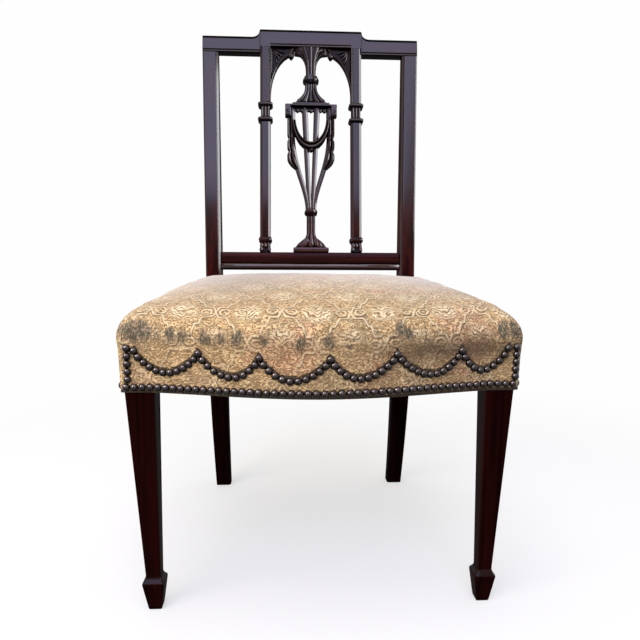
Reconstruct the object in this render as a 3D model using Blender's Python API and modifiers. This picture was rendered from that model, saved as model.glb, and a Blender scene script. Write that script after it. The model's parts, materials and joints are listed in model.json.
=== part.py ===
"""Dining chair with a rectangular back, a pierced urn splat and a stuffed-over seat.

Metres, +Z up. X runs across the chair, the front faces -Y and the floor is z = 0.
Plan sizes are measured from the front faces of the front legs, and one empty then
centres the chair. The pieces of the back are drawn in the plane of the raked back,
as x, depth behind that plane, and height up along it, and hang on a tilted empty.
"""

import math

import bmesh
import bpy
from mathutils import Matrix

# Fits
GAP = 0.0003  # glue line between pieces that touch
EASE = 0.0025  # rounding of the long edges of legs and posts

# Front legs: square, tapered to an ankle above a spade foot
LEG_SQUARE = 0.0392
LEG_OUTER_X = 0.2645
LEG_LEAN = 0.0137  # how far the leg's axis runs in between seat and floor
LEG_STRIDE = 0.0080  # and how far it runs forward
ANKLE_SQUARE = 0.020
ANKLE_Z = 0.046
SPADE_SQUARE = 0.030
SPADE_Z = 0.039
FOOT_SQUARE = 0.018
FOOT_EASE = 0.0012

# Seat frame
RAIL_BOTTOM = 0.309
RAIL_HEIGHT = 0.063
FRONT_RAIL = 0.026  # thickness
SIDE_RAIL = 0.024
REAR_RAIL = 0.024
REAR_RAIL_SET_BACK = 0.004  # behind the front faces of the posts
FRONT_BOW = 0.048
BOW_EASE = 0.45  # 0 is a plain bow, 1 runs flat into the legs
SEAT_DEPTH = 0.4076  # front face of the legs to front face of the posts

# Tenons of the seat frame
TENON_THICK = 0.009
TENON_HEIGHT = 0.046
TENON_LONG = 0.014
TENON_INSET = 0.012  # middle of the tenon from the rail's outer face

# Corner blocks
BLOCK_HEIGHT = 0.046
BLOCK_REACH = 0.058  # along each rail

# Webbing and base cloth
WEB_WIDE = 0.050
WEB_THICK = 0.0016
WEB_LENGTHWISE = 4
WEB_ACROSS = 3
WEB_PITCH_X = 0.088
WEB_PITCH_Y = 0.105
WEB_FIRST_Y = 0.100
WEB_LAP = 0.018  # on to the rails
CLOTH_THICK = 0.001
CLOTH_INSET = 0.014

# Seat cover and stuffing
COVER = 0.0022
CROWN_UP = 0.085  # above the seat rails
CROWN_Y = 0.235
ROLL_FRONT_UP = 0.012  # middle of the rolled edge, above the rails
ROLL_REAR_UP = 0.048
ROLL_RADIUS = 0.030
ROLL_UNDER = math.radians(-24)  # where the roll starts, below its widest
ROLL_OVER = math.radians(72)  # where it runs into the dome
OVERHANG = 0.0065  # of the roll past the cloth's lower edge
CORNER_ROUND = 0.018  # how much rounder the front corners are above the roll than below
CORNER_STEPS = 4
DOME_POWER = 2.1
DOME_ROUND = 0.75  # how soon the dome's level lines turn from the plan to an oval
STUFFING_EASE = 0.0012  # between stuffing and cover
ROLL_STEPS = 4
DOME_STEPS = 4
FRONT_STEPS = 12
SIDE_STEPS = 8
REAR_STEPS = 4

# Back posts
BACK_LINE_UP = 0.078  # where the posts bend back, above the rails
RAKE = math.radians(7.0)
POST_INNER_TOP = 0.1862
POST_OUTER_TOP = 0.2180
POST_INNER_SEAT = 0.1790
POST_OUTER_SEAT = 0.2100
POST_INNER_RAIL = 0.1705
POST_OUTER_RAIL = 0.2085
POST_INNER_FLOOR = 0.1700
POST_OUTER_FLOOR = 0.2000
POST_DEEP_SEAT = 0.036
POST_DEEP_TOP = 0.021
POST_DEEP_FLOOR = 0.028
REAR_SPLAY = 0.0484  # how far the foot stands behind the seat
SPLAY_POWER = 1.7  # how late the leg turns out
POST_TENON = (0.016, 0.010, 0.014)
LEG_STATIONS = 7

# Crest rail and lower back rail, heights up the back from the back line
CREST_BOTTOM = 0.4530
CREST_HEIGHT = 0.0322
CREST_THICK = 0.021
CREST_EASE = 0.0015
TABLET_RISE = 0.0140
TABLET_STEP = 0.0119  # between the undersides of crest and tablet
TABLET_HALF = 0.105
TABLET_PROUD = 0.003
SHOULDER = 0.0155  # the concave shoulder's run beside the tablet
SHOULDER_RISE = 0.0112  # and its height, below a short upright
SHOULDER_STEPS = 5
QUIRK = 0.0011  # half-width of the line that sets off an edge bead
BEAD = 0.0045  # from the edge to the line
LOW_RAIL_BOTTOM = 0.0155
LOW_RAIL_HEIGHT = 0.0342
LOW_RAIL_THICK = 0.019
LOW_BEAD = 0.011  # height of the half-round along its lower edge
LOW_BEAD_PROUD = 0.004
LOW_TENON = (0.012, 0.009, 0.018)

# Splat columns
COLUMN_INSET = 0.0026  # from the tablet's ends
COLUMN_WIDE = 0.0212
COLUMN_BACK = 0.016
COLUMN_ROUND = 0.005
CAPITAL_DROP = 0.1144  # tablet's underside to the top of the upper ring
UPPER_RING = 0.0102
NECK = 0.0172
LOWER_RING = 0.0107
RING_SWELL = 0.0048
RING_POWER = 0.6  # below 1 makes a ring fuller than a half round
BASE_BLOCK = 0.0211
BASE_SWELL = 0.0019
BASE_RING = 0.0121
BASE_RING_SWELL = 0.0024
STUB = 0.010  # length of the stub tenons of columns and splat
STUB_HALF = 0.006
STUB_DEEP = 0.008

# Spandrel arches between column, tablet and splat
ARCH_SPRING = 0.0999  # below the tablet's underside
ARCH_CROWN = 0.0133
ARCH_CROWN_X = 0.028
HEAD_HALF = 0.0335
SPANDREL_FRONT = 0.001
SPANDREL_BACK = 0.011
ARCH_STEPS = 10
DROP_SIDES = 12
DROP_X = 0.0400
DROP_BELOW = 0.0180
DROP_RADIUS = 0.0058

# Urn splat: its head, collar, lid and rim hang from the tablet
STEM_HALF = 0.010
HEAD_SWEEP = 0.0315
STEM_LONG = 0.013
COLLAR = 0.0183
COLLAR_HALF = 0.0162
LID_HEIGHT = 0.0327
LID_TOP_HALF = 0.0118
LID_HALF = 0.035
LID_POWER = 2.35
LID_PLATE = 0.0063
RIM = 0.012
RIM_LAP = 0.0042  # how far stem and bars run into the rim
RIM_HALF = 0.0516
EAR_WIDE = 0.0090
EAR_DROP = 0.0261
# its foot stands on the lower rail
PLINTH = 0.0065
PLINTH_HALF = 0.0355
FOOT_HEIGHT = 0.0347
FOOT_POWER = 1.4
LOW_STEM_HALF = 0.0076
LOW_STEM_LONG = 0.031
LOW_COLLAR = 0.0182
LOW_COLLAR_HALF = 0.013
# and its bars, swag and tails make the open body between the two
OUTER_BAR_TOP = 0.0385
OUTER_BAR_LOW = 0.0068
OUTER_BAR_WIDE = 0.0145
INNER_BAR_TOP = 0.0122
INNER_BAR_LOW = 0.0028
INNER_BAR_WIDE = 0.0125
INNER_BAR_POWER = 0.85
BAR_LOW_WIDE = 0.0078
BAR_CHAMFER = 0.0022
BELLY = 0.75  # share of the body's height below its full width
BELLY_POWER = 1.6
BAR_STEPS = 11
SWAG_HANG = 0.0155  # swag's ends below the rim
SWAG_INNER = (0.0310, 0.0485)
SWAG_OUTER = (0.0385, 0.0658)
SWAG_SPAN = math.radians(84)
SWAG_STEPS = 14
SWAG_PROUD = 0.0055
# its two rolls, as (share of the way across, share of SWAG_PROUD in front)
SWAG_ROLLS = (
    (0.0, 0.35),
    (0.12, 0.0),
    (0.25, -0.7),
    (0.38, -0.5),
    (0.5, -0.1),
    (0.62, -0.7),
    (0.78, -1.0),
    (0.9, -0.5),
    (1.0, 0.35),
)
TAIL_OUTER_X = 0.0478
TAIL_LONG = 0.1075
TAIL_NOTCHES = (0.0445, 0.0709)
TAIL_NOTCH = 0.0028
TAIL_NOTCH_LONG = 0.004
TAIL_TURN = 0.0225
TAIL_TURN_POWER = 1.6
TAIL_PROUD = 0.003
TAIL_STEPS = 20
SPLAT_FRONT = -0.001
STEM_PROUD = 0.0045
STEM_WAIST = 0.55  # where the round front of a half-round section starts, front to back
EAR_PROUD = 0.0055
# the carver thins the back of the board a little more under each finer piece
STEM_BACK = 0.0112
RIM_BACK = 0.0118
EAR_BACK = 0.0107
OUTER_BAR_BACK = 0.0102
INNER_BAR_BACK = 0.0097
TAIL_BACK = 0.0092
SWAG_BACK = 0.0087

# Worked out from the sizes above
RAIL_TOP = RAIL_BOTTOM + RAIL_HEIGHT
RAIL_MID = RAIL_BOTTOM + RAIL_HEIGHT / 2
CROWN_Z = RAIL_TOP + CROWN_UP
BACK_LINE_Z = RAIL_TOP + BACK_LINE_UP
LEG_INNER_X = LEG_OUTER_X - LEG_SQUARE
LEG_AXIS_X = LEG_OUTER_X - LEG_SQUARE / 2
REAR_RAIL_FRONT = SEAT_DEPTH + REAR_RAIL_SET_BACK
SEAT_REAR = REAR_RAIL_FRONT + REAR_RAIL
WEB_LOW = RAIL_TOP + GAP + WEB_THICK / 2
WEB_HIGH = WEB_LOW + WEB_THICK + GAP
CLOTH_BOTTOM = WEB_HIGH + WEB_THICK / 2 + GAP
STUFFING_BOTTOM = CLOTH_BOTTOM + CLOTH_THICK + GAP
CREST_TOP = CREST_BOTTOM + CREST_HEIGHT
TABLET_BOTTOM = CREST_BOTTOM + TABLET_STEP
TABLET_TOP = CREST_TOP + TABLET_RISE
LOW_RAIL_TOP = LOW_RAIL_BOTTOM + LOW_RAIL_HEIGHT
COLUMN_OUTER = TABLET_HALF - COLUMN_INSET
COLUMN_INNER = COLUMN_OUTER - COLUMN_WIDE
COLUMN_X = (COLUMN_OUTER + COLUMN_INNER) / 2
RIM_TOP = TABLET_BOTTOM - ARCH_CROWN - HEAD_SWEEP - STEM_LONG - COLLAR - LID_HEIGHT - LID_PLATE
RIM_BOTTOM = RIM_TOP - RIM
URN_BOTTOM = LOW_RAIL_TOP + PLINTH + FOOT_HEIGHT + LOW_STEM_LONG + LOW_COLLAR
SWAG_TOP = RIM_BOTTOM - SWAG_HANG
EAR_BOTTOM = RIM_TOP - EAR_DROP
FRONT_MOST = -FRONT_BOW - GAP - COVER - OVERHANG
REAR_MOST = SEAT_DEPTH + TABLET_TOP * math.sin(RAKE) + CREST_THICK * math.cos(RAKE)
SIDES = (("left", -1), ("right", 1))

for old in list(bpy.data.objects):
    bpy.data.objects.remove(old, do_unlink=True)

parts = bpy.data.collections.new("urn_back_dining_chair")
helpers = bpy.data.collections.new("cutters")
for collection in (parts, helpers):
    bpy.context.scene.collection.children.link(collection)


def plain_material(name, colour, roughness):
    """A plain Principled material."""
    material = bpy.data.materials.new(name)
    material.use_nodes = True
    shader = material.node_tree.nodes["Principled BSDF"]
    shader.inputs["Base Color"].default_value = (*colour, 1.0)
    shader.inputs["Roughness"].default_value = roughness
    shader.inputs["Metallic"].default_value = 0.0
    material.diffuse_color = (*colour, 1.0)
    return material


MAHOGANY = plain_material("polished_mahogany", (0.075, 0.022, 0.020), 0.28)
BEECH = plain_material("seat_frame_beech", (0.42, 0.27, 0.15), 0.60)
JUTE = plain_material("jute_webbing", (0.40, 0.31, 0.18), 0.90)
HESSIAN = plain_material("hessian", (0.36, 0.26, 0.14), 0.95)
HAIR = plain_material("horsehair_stuffing", (0.10, 0.075, 0.055), 0.95)
TAPESTRY = plain_material("gold_tapestry", (0.42, 0.32, 0.17), 0.85)


def empty(name, location, parent=None, tilt=0.0):
    frame = bpy.data.objects.new(name, None)
    frame.location = location
    frame.rotation_euler = (tilt, 0.0, 0.0)
    frame.parent = parent
    helpers.objects.link(frame)
    return frame


chair = empty("chair_centre", (0.0, -(FRONT_MOST + REAR_MOST) / 2, 0.0))
back = empty("back_plane", (0.0, SEAT_DEPTH, BACK_LINE_Z), chair, -RAKE)


def place(name, mesh, material, parent):
    """Names a mesh as a part, or as a hidden helper where it has no material."""
    thing = bpy.data.objects.new(name, mesh)
    thing.parent = parent
    if material is None:
        helpers.objects.link(thing)
        thing.hide_render = True
        thing.display_type = "WIRE"
    else:
        mesh.materials.append(material)
        mesh.shade_smooth()
        mesh.set_sharp_from_angle(angle=math.radians(35))
        parts.objects.link(thing)
    return thing


def mesh_from(name, bm):
    bmesh.ops.recalc_face_normals(bm, faces=bm.faces)
    mesh = bpy.data.meshes.new(name)
    bm.to_mesh(mesh)
    bm.free()
    return mesh


def box(name, low, high, material=None, parent=chair):
    """A block between two opposite corners."""
    bm = bmesh.new()
    bmesh.ops.create_cube(bm, size=1.0)
    middle = [(a + b) / 2 for a, b in zip(low, high)]
    size = [abs(b - a) for a, b in zip(low, high)]
    bm.transform(Matrix.Translation(middle) @ Matrix.Diagonal((*size, 1.0)))
    return place(name, mesh_from(name, bm), material, parent)


def skin(bm, rings):
    """Joins neighbouring rings of points and returns their vertices."""
    loops = [[bm.verts.new(point) for point in ring] for ring in rings]
    for lower, upper in zip(loops, loops[1:]):
        for i in range(len(lower)):
            j = (i + 1) % len(lower)
            bm.faces.new((lower[i], lower[j], upper[j], upper[i]))
    return loops


def loft(name, rings, material=None, parent=chair):
    """A closed solid through rings of equally many points."""
    bm = bmesh.new()
    loops = skin(bm, rings)
    bm.faces.new(loops[0])
    bm.faces.new(loops[-1])
    return place(name, mesh_from(name, bm), material, parent)


def board(name, outline, low, high, material=None, parent=chair, upright=False):
    """A flat outline given thickness: in plan, or standing in the back's plane."""
    curve = bpy.data.curves.new(name, "CURVE")
    curve.dimensions = "2D"
    curve.fill_mode = "BOTH"
    curve.extrude = (high - low) / 2
    spline = curve.splines.new("POLY")
    spline.points.add(len(outline) - 1)
    for point, (across, along) in zip(spline.points, outline):
        point.co = (across, along, 0.0, 1.0)
    spline.use_cyclic_u = True
    drawn = bpy.data.objects.new(name + "_outline", curve)
    helpers.objects.link(drawn)
    graph = bpy.context.evaluated_depsgraph_get()
    mesh = bpy.data.meshes.new_from_object(drawn.evaluated_get(graph))
    bpy.data.objects.remove(drawn)
    bm = bmesh.new()
    bm.from_mesh(mesh)
    bpy.data.meshes.remove(mesh)
    bmesh.ops.remove_doubles(bm, verts=bm.verts, dist=0.00001)
    bm.transform(Matrix.Translation((0.0, 0.0, (low + high) / 2)))
    if upright:
        # The outline's y becomes height, and its thickness runs behind the plane.
        bm.transform(Matrix(((1, 0, 0, 0), (0, 0, 1, 0), (0, 1, 0, 0), (0, 0, 0, 1))))
    return place(name, mesh_from(name, bm), material, parent)


def cut(target, cutter):
    modifier = target.modifiers.new("cut_" + cutter.name, "BOOLEAN")
    modifier.operation = "DIFFERENCE"
    modifier.object = cutter


def join(target, piece):
    modifier = target.modifiers.new("join_" + piece.name, "BOOLEAN")
    modifier.operation = "UNION"
    modifier.object = piece


def ease(target, width, segments=2):
    """Rounds a piece's sharp edges."""
    modifier = target.modifiers.new("eased_edges", "BEVEL")
    modifier.width = width
    modifier.segments = segments
    modifier.limit_method = "ANGLE"
    modifier.angle_limit = math.radians(40)


def tenon(rail, other, name, low, high, root, parent=chair):
    """A tenon on the rail, rooted into it, and its mortise in the other piece.

    root gives how far the tenon reaches back into its own rail along each axis,
    as (toward low, toward high).
    """
    tongue_low = [a - r[0] for a, r in zip(low, root)]
    tongue_high = [b + r[1] for b, r in zip(high, root)]
    tongue = box(name + "_tenon", tongue_low, tongue_high, None, parent)
    hole_low = [a - GAP - r[0] for a, r in zip(low, root)]
    hole_high = [b + GAP + r[1] for b, r in zip(high, root)]
    hole = box(name + "_mortise", hole_low, hole_high, None, parent)
    join(rail, tongue)
    cut(other, hole)


def lerp(a, b, share):
    return a + (b - a) * share


def rounded_rectangle(x0, x1, y0, y1, radius):
    """Corner points of a section with each corner cut twice."""
    steps = (0.0, 45.0, 90.0)
    corners = (
        (x1 - radius, y0 + radius, -90),
        (x1 - radius, y1 - radius, 0),
        (x0 + radius, y1 - radius, 90),
        (x0 + radius, y0 + radius, 180),
    )
    points = []
    for x, y, start in corners:
        for step in steps:
            angle = math.radians(start + step)
            points.append((x + radius * math.cos(angle), y + radius * math.sin(angle)))
    return points


def at_height(section, z):
    return [(x, y, z) for x, y in section]


def up_back(section, up):
    """A section at a height up the raked back, in the chair's own coordinates."""
    return [
        (
            x,
            SEAT_DEPTH + depth * math.cos(RAKE) + up * math.sin(RAKE),
            BACK_LINE_Z - depth * math.sin(RAKE) + up * math.cos(RAKE),
        )
        for x, depth in section
    ]


def bow(x):
    """How far the front rail stands forward of the legs."""
    share = min(abs(x) / LEG_INNER_X, 1.0)
    flat = (1.0 + math.cos(math.pi * share)) / 2
    return FRONT_BOW * lerp(1.0 - share * share, flat, BOW_EASE)


def post_faces(z):
    """Faces of a post between floor and back line: inner x and outer x."""
    if z <= RAIL_BOTTOM:
        share = z / RAIL_BOTTOM
        inner = lerp(POST_INNER_FLOOR, POST_INNER_RAIL, share)
        return inner, lerp(POST_OUTER_FLOOR, POST_OUTER_RAIL, share)
    share = max(z - RAIL_TOP, 0.0) / (BACK_LINE_Z - RAIL_TOP)
    inner = lerp(POST_INNER_RAIL, POST_INNER_SEAT, share)
    return inner, lerp(POST_OUTER_RAIL, POST_OUTER_SEAT, share)


def post_up(up):
    """Faces of a post above the back line: inner x, outer x and depth."""
    share = up / CREST_BOTTOM
    inner = lerp(POST_INNER_SEAT, POST_INNER_TOP, share)
    outer = lerp(POST_OUTER_SEAT, POST_OUTER_TOP, share)
    return inner, outer, lerp(POST_DEEP_SEAT, POST_DEEP_TOP, share)


def side_x(y):
    """Outer face of the side rail."""
    share = (y - LEG_SQUARE) / (SEAT_DEPTH - LEG_SQUARE)
    return lerp(LEG_OUTER_X, POST_OUTER_RAIL, max(share, 0.0))


SIDE_SLANT = math.cos(math.atan2(LEG_OUTER_X - POST_OUTER_RAIL, SEAT_DEPTH - LEG_SQUARE))


# Front legs
def leg_section(square, z):
    lean = LEG_LEAN * (1.0 - min(z / RAIL_BOTTOM, 1.0))
    x = LEG_AXIS_X - lean
    half = square / 2
    radius = EASE * square / LEG_SQUARE
    y = LEG_SQUARE / 2 - LEG_STRIDE * lean / LEG_LEAN
    section = rounded_rectangle(x - half, x + half, y - half, y + half, radius)
    return at_height(section, z)


front_legs = {}
for side, sign in SIDES:
    leg_rings = [
        leg_section(FOOT_SQUARE - 2 * FOOT_EASE, 0.0),
        leg_section(FOOT_SQUARE, FOOT_EASE),
        leg_section(SPADE_SQUARE, SPADE_Z),
        leg_section(ANKLE_SQUARE, ANKLE_Z),
        leg_section(LEG_SQUARE, RAIL_BOTTOM),
        leg_section(LEG_SQUARE, RAIL_TOP),
    ]
    leg_rings = [[(sign * x, y, z) for x, y, z in ring] for ring in leg_rings]
    front_legs[side] = loft(f"front_leg_{side}", leg_rings, MAHOGANY)

# Back posts, from the floor to the crest rail, with a tenon on top
tenon_wide, tenon_deep, tenon_long = POST_TENON
back_posts = {}
for side, sign in SIDES:
    post_rings = []
    for station in range(LEG_STATIONS):
        z = RAIL_BOTTOM * station / (LEG_STATIONS - 1)
        inner, outer = post_faces(z)
        front = SEAT_DEPTH + REAR_SPLAY * (1.0 - z / RAIL_BOTTOM) ** SPLAY_POWER
        deep = lerp(POST_DEEP_FLOOR, POST_DEEP_SEAT, z / RAIL_BOTTOM)
        section = rounded_rectangle(inner, outer, front, front + deep, EASE)
        post_rings.append(at_height(section, z))
    for z in (RAIL_TOP, BACK_LINE_Z):
        inner, outer = post_faces(z)
        section = rounded_rectangle(
            inner, outer, SEAT_DEPTH, SEAT_DEPTH + POST_DEEP_SEAT, EASE
        )
        post_rings.append(at_height(section, z))
    for up in (LOW_RAIL_TOP, CREST_BOTTOM / 2, CREST_BOTTOM - GAP):
        inner, outer, deep = post_up(up)
        section = rounded_rectangle(inner, outer, 0.0, deep, EASE)
        post_rings.append(up_back(section, up))
    middle = (POST_INNER_TOP + POST_OUTER_TOP) / 2
    tongue = rounded_rectangle(
        middle - tenon_wide / 2,
        middle + tenon_wide / 2,
        (POST_DEEP_TOP - tenon_deep) / 2,
        (POST_DEEP_TOP + tenon_deep) / 2,
        EASE,
    )
    for up in (CREST_BOTTOM - GAP, CREST_BOTTOM + tenon_long):
        post_rings.append(up_back(tongue, up))
    post_rings = [[(sign * x, y, z) for x, y, z in ring] for ring in post_rings]
    back_posts[side] = loft(f"back_post_{side}", post_rings, MAHOGANY)

# Seat rails
rail_span = LEG_INNER_X - GAP
front_edge = []
for i in range(-FRONT_STEPS, FRONT_STEPS + 1):
    x = rail_span * i / FRONT_STEPS
    front_edge.append((x, -bow(x)))
rear_edge = [(x, y + FRONT_RAIL) for x, y in reversed(front_edge)]
front_rail = board(
    "front_seat_rail", front_edge + rear_edge, RAIL_BOTTOM, RAIL_TOP, BEECH
)
rear_half = POST_INNER_RAIL - GAP
rear_rail = box(
    "rear_seat_rail",
    (-rear_half, REAR_RAIL_FRONT, RAIL_BOTTOM),
    (rear_half, SEAT_REAR, RAIL_TOP),
    BEECH,
)
side_rails = {}
for side, sign in SIDES:
    start = LEG_SQUARE + GAP
    stop = SEAT_DEPTH - GAP
    thick = SIDE_RAIL / SIDE_SLANT
    plan = [
        (side_x(start), start),
        (side_x(stop), stop),
        (side_x(stop) - thick, stop),
        (side_x(start) - thick, start),
    ]
    plan = [(sign * x, y) for x, y in plan]
    side_rails[side] = board(f"side_seat_rail_{side}", plan, RAIL_BOTTOM, RAIL_TOP, BEECH)

# Mortise and tenon joints of the seat frame
tenon_low = RAIL_MID - TENON_HEIGHT / 2
tenon_high = RAIL_MID + TENON_HEIGHT / 2
half_thick = TENON_THICK / 2
ROOT = TENON_LONG  # how far a tongue runs back into its rail


def ordered(low, high):
    """Two corners put in order along each axis."""
    pairs = [sorted(pair) for pair in zip(low, high)]
    return [pair[0] for pair in pairs], [pair[1] for pair in pairs]


def mirrored(sign, low, high):
    return ordered((sign * low[0], *low[1:]), (sign * high[0], *high[1:]))


for side, sign in SIDES:
    inward = ((ROOT, 0), (0, 0), (0, 0)) if sign > 0 else ((0, ROOT), (0, 0), (0, 0))
    low, high = mirrored(
        sign,
        (LEG_INNER_X, TENON_INSET - half_thick, tenon_low),
        (LEG_INNER_X + TENON_LONG, TENON_INSET + half_thick, tenon_high),
    )
    tenon(front_rail, front_legs[side], f"front_rail_{side}", low, high, inward)
    leg_x = LEG_OUTER_X - TENON_INSET
    low, high = mirrored(
        sign,
        (leg_x - half_thick, LEG_SQUARE - TENON_LONG, tenon_low),
        (leg_x + half_thick, LEG_SQUARE, tenon_high),
    )
    tenon(
        side_rails[side],
        front_legs[side],
        f"side_rail_front_{side}",
        low,
        high,
        ((0, 0), (0, ROOT), (0, 0)),
    )
    post_x = POST_OUTER_RAIL - TENON_INSET
    low, high = mirrored(
        sign,
        (post_x - half_thick, SEAT_DEPTH, tenon_low),
        (post_x + half_thick, SEAT_DEPTH + TENON_LONG, tenon_high),
    )
    tenon(
        side_rails[side],
        back_posts[side],
        f"side_rail_rear_{side}",
        low,
        high,
        ((0, 0), (ROOT, 0), (0, 0)),
    )
    rear_y = SEAT_REAR - REAR_RAIL / 3
    low, high = mirrored(
        sign,
        (POST_INNER_RAIL, rear_y - half_thick, tenon_low),
        (POST_INNER_RAIL + TENON_LONG, rear_y + half_thick, tenon_high),
    )
    tenon(rear_rail, back_posts[side], f"rear_rail_{side}", low, high, inward)

# Corner blocks, glued behind the legs and in front of the posts
block_low = RAIL_MID - BLOCK_HEIGHT / 2
block_high = RAIL_MID + BLOCK_HEIGHT / 2
inner_thick = SIDE_RAIL / SIDE_SLANT + GAP
for side, sign in SIDES:
    reach_x = LEG_INNER_X - BLOCK_REACH
    reach_y = LEG_SQUARE + BLOCK_REACH
    plan = [(LEG_INNER_X - GAP, FRONT_RAIL - bow(LEG_INNER_X) + GAP)]
    for i in range(1, FRONT_STEPS + 1):
        x = rail_span * (1.0 - i / FRONT_STEPS)
        if x > reach_x:
            plan.append((x, FRONT_RAIL - bow(x) + GAP))
    plan += [
        (side_x(reach_y) - inner_thick, reach_y),
        (side_x(LEG_SQUARE) - inner_thick, LEG_SQUARE + GAP),
        (LEG_INNER_X - GAP, LEG_SQUARE + GAP),
    ]
    plan = [(sign * x, y) for x, y in plan]
    board(f"front_corner_block_{side}", plan, block_low, block_high, BEECH)
    reach_y = SEAT_DEPTH - BLOCK_REACH
    plan = [
        (side_x(SEAT_DEPTH) - inner_thick, SEAT_DEPTH - GAP),
        (side_x(reach_y) - inner_thick, reach_y),
        (POST_INNER_RAIL - BLOCK_REACH, REAR_RAIL_FRONT - GAP),
        (POST_INNER_RAIL - GAP, REAR_RAIL_FRONT - GAP),
        (POST_INNER_RAIL - GAP, SEAT_DEPTH - GAP),
    ]
    plan = [(sign * x, y) for x, y in plan]
    board(f"rear_corner_block_{side}", plan, block_low, block_high, BEECH)

# Webbing, woven over and under on top of the rails
half_web = WEB_WIDE / 2
lengthwise_x = [WEB_PITCH_X * (i - (WEB_LENGTHWISE - 1) / 2) for i in range(WEB_LENGTHWISE)]
across_y = [WEB_FIRST_Y + WEB_PITCH_Y * j for j in range(WEB_ACROSS)]


def ribbon(name, start, stop, crossings, section):
    """A strap from start to stop that lies high or low at each crossing."""
    stations = [(start, WEB_LOW)]
    for middle, high in crossings:
        level = WEB_HIGH if high else WEB_LOW
        clear = half_web + WEB_THICK
        stations += [(middle - clear, level), (middle + clear, level)]
    stations.append((stop, WEB_LOW))
    rings = [section(along, level) for along, level in stations]
    return loft(name, rings, JUTE)


for i, x in enumerate(lengthwise_x):
    start = FRONT_RAIL - bow(abs(x) + half_web) - WEB_LAP
    stop = REAR_RAIL_FRONT + WEB_LAP
    crossings = [(y, (i + j) % 2 == 0) for j, y in enumerate(across_y)]

    def lengthwise_section(y, z, x=x):
        half = WEB_THICK / 2
        return [
            (x - half_web, y, z - half),
            (x + half_web, y, z - half),
            (x + half_web, y, z + half),
            (x - half_web, y, z + half),
        ]

    ribbon(f"webbing_lengthwise_{i + 1}", start, stop, crossings, lengthwise_section)

for j, y in enumerate(across_y):
    reach = side_x(y + half_web) - inner_thick + WEB_LAP
    crossings = [(x, (i + j) % 2 == 1) for i, x in enumerate(lengthwise_x)]

    def across_section(x, z, y=y):
        half = WEB_THICK / 2
        return [
            (x, y - half_web, z - half),
            (x, y + half_web, z - half),
            (x, y + half_web, z + half),
            (x, y - half_web, z + half),
        ]

    ribbon(f"webbing_across_{j + 1}", -reach, reach, crossings, across_section)


# Base cloth, stuffing and cover
def seat_outline(offset, rounder=0.0):
    """The seat frame's plan, grown by an offset, from the front middle round."""
    corner_x = LEG_OUTER_X - EASE - rounder
    corner_y = EASE + rounder
    radius = corner_y + offset
    half = []
    for i in range(FRONT_STEPS):
        x = corner_x * i / FRONT_STEPS
        half.append((x, -bow(x) - offset))
    if radius > 0.0:
        for i in range(CORNER_STEPS + 1):
            angle = math.pi / 2 * (i / CORNER_STEPS - 1.0)
            x = corner_x + radius * math.cos(angle)
            half.append((x, corner_y + radius * math.sin(angle)))
    else:
        half.append((LEG_OUTER_X + offset, -offset))
    half.append((LEG_OUTER_X + offset, LEG_SQUARE))
    rear = SEAT_REAR + offset
    slant = offset / SIDE_SLANT
    for i in range(1, SIDE_STEPS + 1):
        y = lerp(LEG_SQUARE, rear, i / SIDE_STEPS)
        half.append((side_x(y) + slant, y))
    rear_x = half[-1][0]
    for i in range(1, REAR_STEPS + 1):
        half.append((rear_x * (1.0 - i / REAR_STEPS), rear))
    return half + [(-x, y) for x, y in reversed(half[1:-1])]


def roll_z(y):
    """Height of the rolled edge's middle, which climbs from front to rear."""
    share = min(max(y / SEAT_DEPTH, 0.0), 1.0)
    return RAIL_TOP + lerp(ROLL_FRONT_UP, ROLL_REAR_UP, math.sin(share * math.pi / 2))


def oval(x, y):
    """The point of an oval about the crown that lies the same way as (x, y)."""
    wide = side_x(CROWN_Y)
    deep = CROWN_Y + FRONT_BOW if y < CROWN_Y else SEAT_REAR - CROWN_Y
    turn = math.atan2((y - CROWN_Y) / deep, x / wide)
    return wide * math.cos(turn), CROWN_Y + deep * math.sin(turn)


def dome_rings(inside, bottom):
    """Rings of the upholstered form, some way inside the cloth's outer face."""
    lower_edge = GAP + COVER
    rings = [[(x, y, bottom) for x, y in seat_outline(lower_edge - inside)]]
    radius = ROLL_RADIUS - inside
    for step in range(ROLL_STEPS + 1):
        turn = lerp(ROLL_UNDER, ROLL_OVER, step / ROLL_STEPS)
        reach = lower_edge + OVERHANG - ROLL_RADIUS + radius * math.cos(turn)
        rounder = CORNER_ROUND * (step + 1) / (ROLL_STEPS + 1)
        ring = []
        for x, y in seat_outline(max(reach, 0.0), rounder):
            share = max(-reach, 0.0) / math.hypot(x, CROWN_Y - y)
            z = roll_z(y) + radius * math.sin(turn)
            z = max(z, bottom + CLOTH_THICK * (step + 1))
            ring.append((lerp(x, 0.0, share), lerp(y, CROWN_Y, share), z))
        rings.append(ring)
    edge = rings[-1]
    for step in range(1, DOME_STEPS):
        share = step / DOME_STEPS
        lift = 1.0 - (1.0 - share) ** DOME_POWER
        rounded = share**DOME_ROUND
        ring = []
        for x, y, z in edge:
            oval_x, oval_y = oval(x, y)
            x = lerp(lerp(x, oval_x, rounded), 0.0, share)
            y = lerp(lerp(y, oval_y, rounded), CROWN_Y, share)
            ring.append((x, y, lerp(z, CROWN_Z - inside, lift)))
        rings.append(ring)
    return rings


def dome(name, inside, bottom, material, closed):
    bm = bmesh.new()
    loops = skin(bm, dome_rings(inside, bottom))
    crown = bm.verts.new((0.0, CROWN_Y, CROWN_Z - inside))
    top = loops[-1]
    for i in range(len(top)):
        bm.faces.new((top[i], top[(i + 1) % len(top)], crown))
    if closed:
        bm.faces.new(loops[0])
    bmesh.ops.triangulate(bm, faces=bm.faces)
    return place(name, mesh_from(name, bm), material, chair)


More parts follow.
